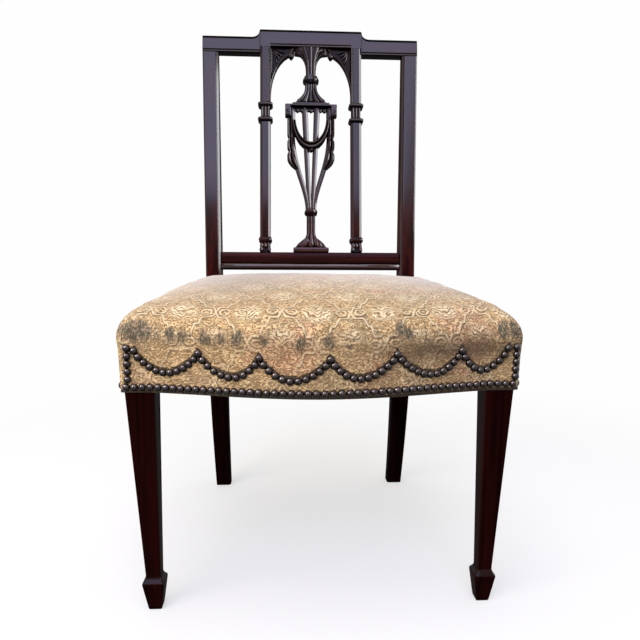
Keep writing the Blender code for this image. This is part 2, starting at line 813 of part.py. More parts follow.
# The seat is notched round the posts.
post_cutters = []
for side, sign in SIDES:
    rings = []
    for z in (RAIL_BOTTOM - ROLL_RADIUS, RAIL_TOP, BACK_LINE_Z, CROWN_Z + ROLL_RADIUS):
        inner = post_faces(min(z, BACK_LINE_Z))[0] - GAP
        front = SEAT_DEPTH - GAP
        plan = [(inner, front), (LEG_OUTER_X, front), (LEG_OUTER_X, REAR_MOST), (inner, REAR_MOST)]
        rings.append([(sign * x, y, z) for x, y in plan])
    post_cutters.append(loft(f"post_notch_{side}", rings))

cloth_plan = seat_outline(-CLOTH_INSET)
cloth_rings = [at_height(cloth_plan, CLOTH_BOTTOM + lift) for lift in (0.0, CLOTH_THICK)]
base_cloth = loft("base_hessian", cloth_rings, HESSIAN)
stuffing = dome("seat_stuffing", COVER + STUFFING_EASE, STUFFING_BOTTOM, HAIR, True)
cover = dome("seat_cover", 0.0, RAIL_BOTTOM, TAPESTRY, False)
thickness = cover.modifiers.new("cloth_thickness", "SOLIDIFY")
thickness.thickness = COVER
thickness.offset = -1.0
thickness.use_even_offset = True
for piece in (base_cloth, stuffing, cover):
    for cutter in post_cutters:
        cut(piece, cutter)


# Crest rail: level ends over the posts, with a raised tablet in the middle
def crest_section(x, front, top, inset=0.0):
    """A section across the rail, drawn in all round where it has an inset."""
    outline = rounded_rectangle(
        front + inset,
        CREST_THICK - inset,
        CREST_BOTTOM + inset,
        top - inset,
        CREST_EASE - inset / 2,
    )
    return [(x, depth, up) for depth, up in outline]


crest_half = [
    crest_section(POST_OUTER_TOP, 0.0, CREST_TOP, CREST_EASE),
    crest_section(POST_OUTER_TOP - CREST_EASE, 0.0, CREST_TOP),
]
for i in range(SHOULDER_STEPS + 1):
    turn = math.pi / 2 * i / SHOULDER_STEPS
    x = TABLET_HALF + SHOULDER * (1.0 - math.sin(turn))
    top = CREST_TOP + SHOULDER_RISE * (1.0 - math.cos(turn))
    crest_half.append(crest_section(x, 0.0, top))
crest_half.append(crest_section(TABLET_HALF - QUIRK, 0.0, TABLET_TOP))
crest_half.append(crest_section(COLUMN_OUTER, -TABLET_PROUD, TABLET_TOP))
mirror_half = [[(-x, y, z) for x, y, z in ring] for ring in reversed(crest_half)]
crest = loft("crest_rail", crest_half + mirror_half, MAHOGANY, back)
# The columns and splat stop under the tablet, above the underside of the ends.
step_x = COLUMN_OUTER + GAP
below_tablet = box(
    "crest_step",
    (-step_x, -CREST_THICK, CREST_BOTTOM - TABLET_STEP),
    (step_x, 2 * CREST_THICK, TABLET_BOTTOM),
    None,
    back,
)
cut(crest, below_tablet)

# Lower back rail, with a half-round bead along its lower edge
rail_half = post_up(LOW_RAIL_BOTTOM)[0] - GAP
bead_turns = [math.pi * i / 6 for i in range(7)]
bead_mid = LOW_RAIL_BOTTOM + LOW_BEAD / 2
rail_section = [(LOW_RAIL_THICK, LOW_RAIL_BOTTOM), (LOW_RAIL_THICK, LOW_RAIL_TOP)]
rail_section += [(0.0, LOW_RAIL_TOP), (0.0, LOW_RAIL_BOTTOM + LOW_BEAD + QUIRK)]
for turn in bead_turns:
    rail_section.append(
        (-LOW_BEAD_PROUD * math.sin(turn), bead_mid + LOW_BEAD / 2 * math.cos(turn))
    )
low_rail = loft(
    "lower_back_rail",
    [[(x, y, z) for y, z in rail_section] for x in (-rail_half, rail_half)],
    MAHOGANY,
    back,
)
long_tenon, thick_tenon, high_tenon = LOW_TENON
rail_mid = LOW_RAIL_TOP - high_tenon / 2 - GAP - EASE
for side, sign in SIDES:
    inward = ((ROOT, 0), (0, 0), (0, 0)) if sign > 0 else ((0, ROOT), (0, 0), (0, 0))
    low, high = mirrored(
        sign,
        (rail_half, (LOW_RAIL_THICK - thick_tenon) / 2, rail_mid - high_tenon / 2),
        (
            rail_half + long_tenon,
            (LOW_RAIL_THICK + thick_tenon) / 2,
            rail_mid + high_tenon / 2,
        ),
    )
    tenon(low_rail, back_posts[side], f"lower_rail_{side}", low, high, inward, back)
    # The post's own top tenon needs its mortise in the crest rail.
    middle = (POST_INNER_TOP + POST_OUTER_TOP) / 2
    low, high = mirrored(
        sign,
        (
            middle - tenon_wide / 2 - GAP,
            (POST_DEEP_TOP - tenon_deep) / 2 - GAP,
            CREST_BOTTOM - tenon_long,
        ),
        (
            middle + tenon_wide / 2 + GAP,
            (POST_DEEP_TOP + tenon_deep) / 2 + GAP,
            CREST_BOTTOM + tenon_long + GAP,
        ),
    )
    cut(crest, box(f"crest_mortise_{side}", low, high, None, back))


# A line scratched beside an edge leaves a fine bead along it
def quirk(name, target, start, stop):
    """A shallow line across the face of the back between two (x, up) points."""
    along = math.atan2(stop[1] - start[1], stop[0] - start[0])
    long = math.hypot(stop[0] - start[0], stop[1] - start[1])
    line = box(name, (0.0, -QUIRK, -QUIRK), (long, QUIRK, QUIRK), None, back)
    line.location = (start[0], -QUIRK / 3, start[1])
    line.rotation_euler = (math.radians(45), -along, 0.0)
    line.rotation_mode = "XYZ"
    cut(target, line)


for side, sign in SIDES:
    inner_low = post_up(LOW_RAIL_TOP)[0] + BEAD
    inner_high = post_up(CREST_BOTTOM)[0] + BEAD
    quirk(
        f"post_line_{side}",
        back_posts[side],
        (sign * inner_low, LOW_RAIL_TOP + BEAD),
        (sign * inner_high, CREST_BOTTOM + BEAD),
    )
    ends = sorted((sign * (COLUMN_OUTER + BEAD), sign * inner_high))
    quirk(
        f"crest_line_{side}",
        crest,
        (ends[0], CREST_BOTTOM + BEAD),
        (ends[1], CREST_BOTTOM + BEAD),
    )


# Sections of the carved back, convex towards the sitter
def plaque(half, front, rear, chamfer, middle=0.0):
    """A bar's section with chamfered front edges."""
    return [
        (middle - half, rear),
        (middle + half, rear),
        (middle + half, front + chamfer),
        (middle + half - chamfer, front),
        (middle - half + chamfer, front),
        (middle - half, front + chamfer),
    ]


def drum(half, front, rear):
    """A half-round section: flat behind, an ellipse in front."""
    waist = lerp(front, rear, STEM_WAIST)
    points = [(-half, rear), (half, rear)]
    for degrees in (0, 36, 72, 108, 144, 180):
        angle = math.radians(degrees)
        points.append((half * math.cos(angle), waist + (front - waist) * math.sin(angle)))
    return points


def swelling(low, high, peak, start=0.0):
    """(height, swell) up one half-round ring."""
    return [
        (lerp(low, high, share), lerp(start, peak, math.sin(math.pi * share) ** RING_POWER))
        for share in (0.0, 0.08, 0.25, 0.5, 0.75, 0.92, 1.0)
    ]


# Splat columns with ringed capitals and spreading bases
ring_top = TABLET_BOTTOM - CAPITAL_DROP
neck_top = ring_top - UPPER_RING
neck_low = neck_top - NECK
ring_low = neck_low - LOWER_RING
block_top = LOW_RAIL_TOP + BASE_BLOCK
base_top = block_top + BASE_RING
column_profile = [
    (LOW_RAIL_TOP + GAP, BASE_SWELL),
    (lerp(LOW_RAIL_TOP, block_top, 0.5), BASE_SWELL),
]
column_profile += swelling(block_top, base_top, BASE_RING_SWELL)
column_profile += swelling(ring_low, neck_low, RING_SWELL)
column_profile += swelling(neck_top, ring_top, RING_SWELL)
column_profile.append((TABLET_BOTTOM - GAP, 0.0))


def stub(name, piece, into, x, joint, into_up, parent=back):
    """A stub tenon at a height, running up or down into a rail."""
    ends = (joint, joint + STUB) if into_up else (joint - STUB, joint)
    root = ((0, 0), (0, 0), (STUB, 0)) if into_up else ((0, 0), (0, 0), (0, STUB))
    middle = CREST_THICK / 2 - STUB_DEEP / 4
    tenon(
        piece,
        into,
        name,
        (x - STUB_HALF, middle - STUB_DEEP / 2, ends[0]),
        (x + STUB_HALF, middle + STUB_DEEP / 2, ends[1]),
        root,
        parent,
    )


for side, sign in SIDES:
    column_rings = []
    for up, swell in column_profile:
        section = plaque(
            COLUMN_WIDE / 2 + swell,
            -TABLET_PROUD - swell,
            COLUMN_BACK,
            COLUMN_ROUND,
            sign * COLUMN_X,
        )
        column_rings.append([(x, y, up) for x, y in section])
    column = loft(f"splat_column_{side}", column_rings, MAHOGANY, back)
    stub(f"column_top_{side}", column, crest, sign * COLUMN_X, TABLET_BOTTOM, True)
    stub(f"column_foot_{side}", column, low_rail, sign * COLUMN_X, LOW_RAIL_TOP, False)

# Spandrels: a quarter of an arch in each upper corner, with a carved drop
arch_wide = COLUMN_INNER - GAP - ARCH_CROWN_X
arch_high = ARCH_SPRING - ARCH_CROWN
spring = TABLET_BOTTOM - ARCH_SPRING
for side, sign in SIDES:
    outer_x = COLUMN_INNER - GAP
    inner_x = HEAD_HALF + GAP
    outline = [(outer_x, TABLET_BOTTOM - GAP), (inner_x, TABLET_BOTTOM - GAP)]
    start = math.acos((inner_x - ARCH_CROWN_X) / arch_wide)
    for i in range(ARCH_STEPS):
        turn = start * (1.0 - i / ARCH_STEPS)
        outline.append(
            (ARCH_CROWN_X + arch_wide * math.cos(turn), spring + arch_high * math.sin(turn))
        )
    outline.append((outer_x, spring))
    outline = [(sign * x, up) for x, up in outline]
    spandrel = board(
        f"spandrel_{side}",
        outline,
        SPANDREL_FRONT,
        SPANDREL_BACK,
        MAHOGANY,
        back,
        True,
    )
    drop_outline = []
    for i in range(DROP_SIDES):
        turn = 2 * math.pi * i / DROP_SIDES
        drop_outline.append(
            (
                sign * (DROP_X + DROP_RADIUS * math.cos(turn)),
                TABLET_BOTTOM - DROP_BELOW + DROP_RADIUS * math.sin(turn),
            )
        )
    drop = board(
        f"spandrel_drop_{side}",
        drop_outline,
        SPANDREL_FRONT - SWAG_PROUD / 2,
        SPANDREL_BACK - SPANDREL_FRONT,
        None,
        back,
        True,
    )
    join(spandrel, drop)

# Urn splat, carved from one board
head_low = TABLET_BOTTOM - ARCH_CROWN
stem_top = head_low - HEAD_SWEEP
collar_top = stem_top - STEM_LONG
lid_top = collar_top - COLLAR
lid_low = lid_top - LID_HEIGHT
stem_profile = [(TABLET_BOTTOM - GAP, HEAD_HALF), (head_low, HEAD_HALF)]
for i in range(1, 7):
    turn = math.pi / 2 * i / 6
    half = ARCH_CROWN_X - (ARCH_CROWN_X - STEM_HALF) * math.sin(turn)
    stem_profile.append((stem_top + HEAD_SWEEP * math.cos(turn), half))
stem_profile += reversed(swelling(lid_top, collar_top, COLLAR_HALF, LID_TOP_HALF))
for i in range(1, 7):
    share = i / 6
    half = lerp(LID_TOP_HALF, LID_HALF, share**LID_POWER)
    stem_profile.append((lerp(lid_top, lid_low, share), half))
stem_profile.append((RIM_TOP - RIM_LAP, LID_HALF))


def carved(profile):
    """Rings of a half-round form with a profile of (height, half-width)."""
    rings = []
    for up, half in profile:
        section = drum(half, SPLAT_FRONT - STEM_PROUD, STEM_BACK)
        rings.append([(x, y, up) for x, y in section])
    return rings


splat = loft("urn_splat", carved(stem_profile), MAHOGANY, back)
stub("splat_top", splat, crest, 0.0, TABLET_BOTTOM, True)

foot_low = LOW_RAIL_TOP + PLINTH
foot_top = foot_low + FOOT_HEIGHT
collar_low = foot_top + LOW_STEM_LONG
foot_profile = [(LOW_RAIL_TOP + GAP, PLINTH_HALF), (foot_low, PLINTH_HALF)]
for i in range(1, 7):
    share = i / 6
    half = lerp(LOW_STEM_HALF, PLINTH_HALF, (1.0 - share) ** FOOT_POWER)
    foot_profile.append((lerp(foot_low, foot_top, share), half))
foot_profile += swelling(collar_low, URN_BOTTOM, LOW_COLLAR_HALF, LOW_STEM_HALF)
foot = loft("splat_foot", carved(foot_profile), None, back)
rim = box(
    "splat_rim",
    (-RIM_HALF, SPLAT_FRONT - STEM_PROUD - QUIRK / 2, RIM_BOTTOM),
    (RIM_HALF, RIM_BACK, RIM_TOP),
    None,
    back,
)
ease(rim, CREST_EASE)
join(splat, rim)


def outer_bar(up):
    """Middle of an outer bar: the outline of the urn's body."""
    share = (up - URN_BOTTOM) / (RIM_BOTTOM - URN_BOTTOM)
    full = math.sin(min(max(share, 0.0) / BELLY, 1.0) * math.pi / 2) ** BELLY_POWER
    return lerp(OUTER_BAR_LOW, OUTER_BAR_TOP, full)


def inner_bar(up):
    share = (up - URN_BOTTOM) / (RIM_BOTTOM - URN_BOTTOM)
    return lerp(INNER_BAR_LOW, INNER_BAR_TOP, max(share, 0.0) ** INNER_BAR_POWER)


bar_low = URN_BOTTOM - LOW_COLLAR / 2
bar_high = RIM_BOTTOM + RIM_LAP
for side, sign in SIDES:
    for which, middle_of, wide, rear in (
        ("outer", outer_bar, OUTER_BAR_WIDE, OUTER_BAR_BACK),
        ("inner", inner_bar, INNER_BAR_WIDE, INNER_BAR_BACK),
    ):
        rings = []
        for i in range(BAR_STEPS + 1):
            up = lerp(bar_low, bar_high, i / BAR_STEPS)
            half = lerp(BAR_LOW_WIDE, wide, i / BAR_STEPS) / 2
            section = plaque(half, SPLAT_FRONT, rear, BAR_CHAMFER, sign * middle_of(up))
            rings.append([(x, y, up) for x, y in section])
        join(splat, loft(f"splat_{which}_bar_{side}", rings, None, back))
    low, high = mirrored(
        sign,
        (RIM_HALF - EAR_WIDE, SPLAT_FRONT - EAR_PROUD, EAR_BOTTOM),
        (RIM_HALF + QUIRK / 2, EAR_BACK, RIM_TOP - QUIRK),
    )
    ear = box(f"splat_ear_{side}", low, high, None, back)
    ease(ear, CREST_EASE)
    join(splat, ear)

    # A gathered tail hangs from each ear outside the urn.
    tail_top = EAR_BOTTOM + QUIRK
    rings = []
    for i in range(TAIL_STEPS + 1):
        drop = TAIL_LONG * i / TAIL_STEPS
        up = tail_top - drop
        notch = sum(math.exp(-(((drop - at) / TAIL_NOTCH_LONG) ** 2)) for at in TAIL_NOTCHES)
        outer = TAIL_OUTER_X - TAIL_NOTCH * notch
        inner = outer_bar(up)
        turn = max((drop - TAIL_LONG + TAIL_TURN) / TAIL_TURN, 0.0) ** TAIL_TURN_POWER
        outer = lerp(outer, inner + OUTER_BAR_WIDE / 2, turn)
        middle = (outer + inner) / 2
        section = plaque(
            (outer - inner) / 2,
            SPLAT_FRONT - TAIL_PROUD,
            TAIL_BACK,
            BAR_CHAMFER,
            sign * middle,
        )
        rings.append([(x, y, up) for x, y in section])
    join(splat, loft(f"splat_tail_{side}", rings, None, back))

# The swag is a crescent of two rolls, slung between the ears.
rings = []
for i in range(SWAG_STEPS + 1):
    turn = lerp(-SWAG_SPAN, SWAG_SPAN, i / SWAG_STEPS)
    ring = []
    for across, swell in SWAG_ROLLS:
        wide = lerp(SWAG_INNER[0], SWAG_OUTER[0], across)
        deep = lerp(SWAG_INNER[1], SWAG_OUTER[1], across)
        y = SPLAT_FRONT + SWAG_PROUD * swell
        ring.append((wide * math.sin(turn), y, SWAG_TOP - deep * math.cos(turn)))
    for across in (1.0, 0.0):
        wide = lerp(SWAG_INNER[0], SWAG_OUTER[0], across)
        deep = lerp(SWAG_INNER[1], SWAG_OUTER[1], across)
        ring.append((wide * math.sin(turn), SWAG_BACK, SWAG_TOP - deep * math.cos(turn)))
    rings.append(ring)
join(splat, loft("splat_swag", rings, None, back))
join(splat, foot)
stub("splat_foot", splat, low_rail, 0.0, LOW_RAIL_TOP, False)

bpy.context.view_layer.update()
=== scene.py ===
"""An urn-back mahogany dining chair with a nailed gold seat, dressed over its CAD frame.

Every size is in metres. Plan sizes are taken from the front face of the front legs, and heights
up the back from the back line, where the posts begin to rake. Left is the chair's -x side.
"""

import json
import math
import random
from functools import partialmethod

import bmesh
import bpy
import numpy as np
from mathutils import Matrix, Vector, noise
from mathutils.bvhtree import BVHTree

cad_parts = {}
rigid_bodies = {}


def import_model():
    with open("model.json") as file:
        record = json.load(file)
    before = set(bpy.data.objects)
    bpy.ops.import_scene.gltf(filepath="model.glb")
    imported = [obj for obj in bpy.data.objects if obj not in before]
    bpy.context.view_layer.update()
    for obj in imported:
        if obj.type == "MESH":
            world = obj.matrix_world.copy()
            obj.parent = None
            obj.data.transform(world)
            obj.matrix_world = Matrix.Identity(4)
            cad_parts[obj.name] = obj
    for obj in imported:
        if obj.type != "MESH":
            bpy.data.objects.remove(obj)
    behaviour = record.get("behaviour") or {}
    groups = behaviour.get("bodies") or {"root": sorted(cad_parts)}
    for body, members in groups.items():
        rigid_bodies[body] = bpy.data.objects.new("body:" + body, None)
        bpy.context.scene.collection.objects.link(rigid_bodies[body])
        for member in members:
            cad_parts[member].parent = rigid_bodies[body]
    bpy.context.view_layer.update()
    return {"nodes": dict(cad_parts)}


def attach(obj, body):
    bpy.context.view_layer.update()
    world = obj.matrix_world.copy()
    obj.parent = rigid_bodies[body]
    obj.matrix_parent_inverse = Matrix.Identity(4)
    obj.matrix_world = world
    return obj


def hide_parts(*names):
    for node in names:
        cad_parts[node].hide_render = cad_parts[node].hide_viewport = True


for leftover in list(bpy.data.objects):
    bpy.data.objects.remove(leftover, do_unlink=True)

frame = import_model()
SEED = 7

# Front legs
LEG_SQUARE = 0.0392
LEG_OUTER_X = 0.2645
LEG_LEAN = 0.0137
LEG_STRIDE = 0.008
LEG_ARRIS = 0.0024
# (height, square) from the sole up over the spade foot to the ankle
SPADE_PROFILE = (
    (0.0, 0.0152), (0.0005, 0.0166), (0.0014, 0.0178), (0.004, 0.019), (0.012, 0.0217),
    (0.022, 0.0249), (0.031, 0.0277), (0.036, 0.0293), (0.0384, 0.0299), (0.0396, 0.0297),
    (0.0408, 0.0284), (0.0424, 0.0257), (0.0442, 0.0229), (0.046, 0.021), (0.049, 0.0202),
)

# Seat frame
RAIL_BOTTOM = 0.309
RAIL_TOP = 0.372
FRONT_RAIL = 0.026
SIDE_RAIL = 0.024
REAR_RAIL = 0.024
REAR_RAIL_SET_BACK = 0.004
FRONT_BOW = 0.048
BOW_EASE = 0.45
SEAT_DEPTH = 0.4076
GAP = 0.0003

# Webbing and base cloth
WEB_WIDE = 0.05
WEB_THICK = 0.0016
WEB_PITCH_X = 0.088
WEB_PITCH_Y = 0.105
WEB_FIRST_Y = 0.1
WEB_LAP = 0.018
HESSIAN_THICK = 0.0008
HESSIAN_INSET = 0.014

# Stuffed seat
CLOTH = 0.0022
CROWN_Z = 0.457
CROWN_Y = 0.235
ROLL_FRONT_Z = 0.384
ROLL_REAR_Z = 0.42
ROLL_RADIUS = 0.03
ROLL_UNDER = math.radians(-24)
ROLL_OVER = math.radians(72)
ROLL_STEPS = 9
OVERHANG = 0.0065
CORNER_ROUND = 0.018
EASE = 0.0025
DOME_POWER = 2.1
DOME_ROUND = 0.75
DOME_STEPS = 14

# Back posts
RAKE = math.radians(7)
BACK_LINE_Z = 0.45
POST_INNER = {"floor": 0.17, "rail": 0.1705, "seat": 0.179, "top": 0.1862}
POST_OUTER = {"floor": 0.2, "rail": 0.2085, "seat": 0.21, "top": 0.218}
POST_DEEP = {"floor": 0.028, "rail": 0.036, "seat": 0.036, "top": 0.021}
REAR_SPLAY = 0.0484
SPLAY_POWER = 1.7

# Crest rail and lower back rail, in heights up the back
CREST_BOTTOM = 0.453
CREST_TOP = 0.4852
CREST_THICK = 0.021
TABLET_TOP = 0.4992
TABLET_BOTTOM = 0.4649
TABLET_HALF = 0.104
TABLET_PROUD = 0.003
SHOULDER = 0.0155
SHOULDER_RISE = 0.0112
SHOULDER_STEPS = 10
BEAD = 0.0045
QUIRK = 0.0011
RAIL_ARRIS = 0.0014
LOW_RAIL_BOTTOM = 0.0155
LOW_RAIL_TOP = 0.0497
LOW_RAIL_THICK = 0.019
LOW_BEAD = 0.011
LOW_BEAD_PROUD = 0.004

# Columns
COLUMN_OUTER = 0.1024
COLUMN_INNER = 0.0812
COLUMN_X = (COLUMN_OUTER + COLUMN_INNER) / 2
COLUMN_HALF = (COLUMN_OUTER - COLUMN_INNER) / 2
COLUMN_FACE = -TABLET_PROUD
COLUMN_BACK = 0.016
COLUMN_CHAMFER = 0.0042
CAPITAL_TOP = TABLET_BOTTOM - 0.1118
NECK_TOP = CAPITAL_TOP - 0.0105
NECK_LOW = NECK_TOP - 0.0195
CAPITAL_LOW = NECK_LOW - 0.0107
RING_SWELL = 0.0043
BASE_BLOCK_TOP = LOW_RAIL_TOP + 0.019
BASE_RING_TOP = BASE_BLOCK_TOP + 0.0118
BASE_RING_SWELL = 0.0026
BASE_SWELL = 0.0019

# Arches between the columns and the splat
ARCH_CROWN_X = 0.028
ARCH_SPRING = TABLET_BOTTOM - 0.0999
ARCH_CROWN = TABLET_BOTTOM - 0.0133
HEAD_HALF = 0.0335
SPANDREL_BACK = 0.011
DROP_X = 0.04
DROP_UP = TABLET_BOTTOM - 0.018
DROP_RADIUS = 0.0058

# Urn splat
SPLAT_FACE = -0.001
SPLAT_BACK = 0.0112
# how far most of the carved leaves and reeds stand out
CARVED = 0.0036
STEM_PROUD = 0.0045
STEM_FACE = SPLAT_FACE - STEM_PROUD
# the sunk face under the reeds of the lid and the foot
REED_BED = STEM_FACE + 0.0026
STEM_WAIST = 0.55
STEM_HALF = 0.01
HEAD_LOW = ARCH_CROWN
STEM_TOP = HEAD_LOW - 0.0315
COLLAR_TOP = STEM_TOP - 0.013
LID_TOP = COLLAR_TOP - 0.0183
LID_LOW = LID_TOP - 0.0376
LID_TOP_HALF = 0.0118
LID_HALF = 0.0362
LID_POWER = 2.4
LID_SQUARE = 0.5
COLLAR_HALF = 0.0162
RIM_TOP = LID_LOW - 0.0032
RIM_BOTTOM = RIM_TOP - 0.0102
RIM_HALF = 0.0516
EAR_WIDE = 0.011
SCALLOPS = 9
EAR_BOTTOM = RIM_TOP - 0.0243
PLINTH_TOP = LOW_RAIL_TOP + 0.0085
PLINTH_HALF = 0.0355
FOOT_TOP = PLINTH_TOP + 0.0327
FOOT_POWER = 2.0
LOW_STEM_HALF = 0.0086
LOW_COLLAR_LOW = FOOT_TOP + 0.031
URN_BOTTOM = LOW_COLLAR_LOW + 0.0182
LOW_COLLAR_HALF = 0.013
OUTER_BAR = {"top": 0.0385, "low": 0.0068, "wide": 0.0145, "back": 0.0102}
INNER_BAR = {"top": 0.0122, "low": 0.0028, "wide": 0.0125, "back": 0.0097}
INNER_BAR_POWER = 0.85
BAR_LOW_WIDE = 0.0078
BAR_CHAMFER = 0.0046
BELLY = 0.75
BELLY_POWER = 1.6
SWAG_TOP = RIM_BOTTOM - 0.0155
SWAG_INNER = (0.031, 0.0485)
SWAG_OUTER = (0.0385, 0.0658)
SWAG_SPAN = math.radians(84)
SWAG_CREASE = 0.38
SWAG_ROLL = 0.0064
SWAG_BACK = 0.0087
TAIL_OUTER_X = 0.0478
TAIL_LONG = 0.1075
TAIL_NOTCHES = (0.0445, 0.0709)
TAIL_NOTCH = 0.0028
TAIL_TURN = 0.0225
TAIL_FOLD = 0.0058
TAIL_BACK = 0.0092

# Nails
NAIL_RADIUS = 0.0053
NAIL_HIGH = 0.0046
NAIL_PITCH = 0.0107
SIDE_ROW_Z = 0.3162
CORNER_ROWS = (-0.259, 0.264)
CORNER_TOP_Z = 0.369
# (x, z) along the front's lower row, which climbs a little to the right
LOWER_ROW = ((-0.27, 0.3164), (0.0, 0.3162), (0.14, 0.3184), (0.27, 0.318))
# (x, z) of the festoon's peaks and valleys along the front, from the left corner
FESTOON = (
    (-0.2495, 0.3655), (-0.2075, 0.3366), (-0.1634, 0.3645), (-0.1185, 0.3343), (-0.0836, 0.3614),
    (-0.0414, 0.332), (0.0064, 0.361), (0.044, 0.335), (0.0937, 0.3656), (0.143, 0.3362),
    (0.1852, 0.3664), (0.2165, 0.3375), (0.252, 0.368),
)

LEG_INNER_X = LEG_OUTER_X - LEG_SQUARE
LEG_AXIS_X = LEG_OUTER_X - LEG_SQUARE / 2
REAR_RAIL_FRONT = SEAT_DEPTH + REAR_RAIL_SET_BACK
SEAT_REAR = REAR_RAIL_FRONT + REAR_RAIL
WEB_LOW = RAIL_TOP + GAP + WEB_THICK / 2
WEB_HIGH = WEB_LOW + WEB_THICK + GAP
HESSIAN_Z = WEB_HIGH + WEB_THICK / 2 + GAP
STUFFING_BOTTOM = HESSIAN_Z + 0.001 + GAP
FRONT_MOST = -FRONT_BOW - GAP - CLOTH - OVERHANG
REAR_MOST = SEAT_DEPTH + TABLET_TOP * math.sin(RAKE) + CREST_THICK * math.cos(RAKE)
PLAN = Matrix.Translation((0.0, -(FRONT_MOST + REAR_MOST) / 2, 0.0))
PLAN_SHIFT = PLAN.translation.y
BACK = PLAN @ Matrix.Translation((0.0, SEAT_DEPTH, BACK_LINE_Z)) @ Matrix.Rotation(-RAKE, 4, "X")
SIDES = (("left", -1), ("right", 1))


def lerp(a, b, share):
    return a + (b - a) * share


def clamp(value):
    return min(max(value, 0.0), 1.0)


def smooth(low, high, value):
    share = clamp((value - low) / (high - low))
    return share * share * (3.0 - 2.0 * share)


def shares(steps):
    """Even steps from nought to one, both ends included."""
    return [i / steps for i in range(steps + 1)]


def straight(start, stop, steps):
    """Points in even steps from one place to another."""
    return [tuple(lerp(a, b, share) for a, b in zip(start, stop)) for share in shares(steps)]


def upright(x, depth, low, high, steps):
    """Points in even steps up or down a face."""
    return straight((x, depth, low), (x, depth, high), steps)


# Node wiring


class Wire:
    """A node's output that can be used in formulas, each step of which is a node."""

    def __init__(self, tree, socket):
        self.tree = tree
        self.socket = socket

    def into(self, kind, inputs, output=0, **settings):
        """One output of a new node in the same tree."""
        return Wire(self.tree, add_node(self.tree, kind, inputs, **settings).outputs[output])

    def step(self, operation, *others, clamped=False):
        values = dict(enumerate((self, *others)))
        return self.into("Math", values, operation=operation, use_clamp=clamped)

    def __rsub__(self, other):
        return self.into("Math", {0: other, 1: self}, operation="SUBTRACT")

    __add__ = __radd__ = partialmethod(step, "ADD")
    __sub__ = partialmethod(step, "SUBTRACT")
    __mul__ = __rmul__ = partialmethod(step, "MULTIPLY")
    __truediv__ = partialmethod(step, "DIVIDE")
    __pow__ = partialmethod(step, "POWER")
    sin = partialmethod(step, "SINE")
    abs = partialmethod(step, "ABSOLUTE")
    fract = partialmethod(step, "FRACT")
    floor = partialmethod(step, "FLOOR")
    sqrt = partialmethod(step, "SQRT")
    most = partialmethod(step, "MAXIMUM")
    least = partialmethod(step, "MINIMUM")

    def rise(self, low, high, to_low=0.0, to_high=1.0):
        """A smooth rise from to_low at low to to_high at high."""
        ends = {"Value": self, "From Min": low, "From Max": high, "To Min": to_low, "To Max": to_high}
        return self.into("MapRange", ends, "Result", interpolation_type="SMOOTHSTEP")

    def noise(self, scale, detail=2.0, roughness=0.5, distortion=0.0, output="Fac"):
        """Cloudy noise at this place."""
        look = {"Scale": scale, "Detail": detail, "Roughness": roughness, "Distortion": distortion}
        return self.into("TexNoise", {"Vector": self, **look}, output)

    def stretched(self, *by):
        """The same place, scaled along each axis."""
        return self.into("VectorMath", {0: self, 1: by}, operation="MULTIPLY")

    def moved(self, *by):
        return self.into("VectorMath", {0: self, 1: by}, operation="ADD")

    def shaken(self, scale, reach):
        """The same place, pushed about unevenly as old cloth is."""
        drift = self.noise(scale, output="Color").moved(-0.5, -0.5, -0.5)
        pushed = {0: drift, 1: (reach, reach, 0.0), 2: self}
        return self.into("VectorMath", pushed, operation="MULTIPLY_ADD")

    def turned(self):
        """The same place, turned so that its X axis lies along Z."""
        return self.into("Mapping", {"Vector": self, "Rotation": (0.0, math.pi / 2, 0.0)})

    def axes(self):
        apart = add_node(self.tree, "SeparateXYZ", {"Vector": self})
        return [Wire(self.tree, socket) for socket in apart.outputs]


def plug(tree, socket, value):
    """Feeds a socket from a wire, or sets it to a plain number, vector or colour."""
    if isinstance(value, Wire):
        tree.links.new(value.socket, socket)
    elif socket.type == "RGBA":
        socket.default_value = (*value, 1.0)
    else:
        socket.default_value = value


def add_node(tree, kind, inputs=(), **settings):
    """A shader node with its settings, and its inputs plugged by name or number."""
    node = tree.nodes.new("ShaderNode" + kind)
    for name, value in settings.items():
        setattr(node, name, value)
    for name, value in dict(inputs).items():
        plug(tree, node.inputs[name], value)
    return node


def feed(tree, node, **inputs):
    for name, value in inputs.items():
        plug(tree, node.inputs[name.replace("_", " ")], value)


def layered(colour, *layers):
    """A colour with others laid over it in turn, each as (colour, share)."""
    for over, share in layers:
        colour = share.into("Mix", {0: share, 6: colour, 7: over}, 2, data_type="RGBA")
    return colour


def place_on(tree):
    """The place on the object that is being shaded."""
    return Wire(tree, add_node(tree, "TexCoord").outputs["Object"])


def place_in_cloth(tree):
    """The place on the flat cloth, in metres."""
    return Wire(tree, add_node(tree, "UVMap", uv_map="cut").outputs["UV"])


def facing(tree):
    """Which way the surface faces, along each axis."""
    return Wire(tree, add_node(tree, "NewGeometry").outputs["Normal"]).axes()


def painted(tree, name):
    """A value that the mesh's points carry."""
    return Wire(tree, add_node(tree, "Attribute", attribute_name=name).outputs["Fac"])


# Effects that several materials share


def effect(name, **inputs):
    """A new node group and a wire from each input, which is a number, or None for a vector."""
    tree = bpy.data.node_groups.new(name, "ShaderNodeTree")
    for socket, value in inputs.items():
        kind = "NodeSocketVector" if value is None else "NodeSocketFloat"
        made = tree.interface.new_socket(socket, in_out="INPUT", socket_type=kind)
        if value is not None:
            made.default_value = value
    given = tree.nodes.new("NodeGroupInput")
    return tree, *(Wire(tree, given.outputs[socket]) for socket in inputs)


def give(tree, **results):
    """Ends a node group with its named results."""
    for name in results:
        tree.interface.new_socket(name, in_out="OUTPUT", socket_type="NodeSocketFloat")
    feed(tree, tree.nodes.new("NodeGroupOutput"), **results)
    return tree


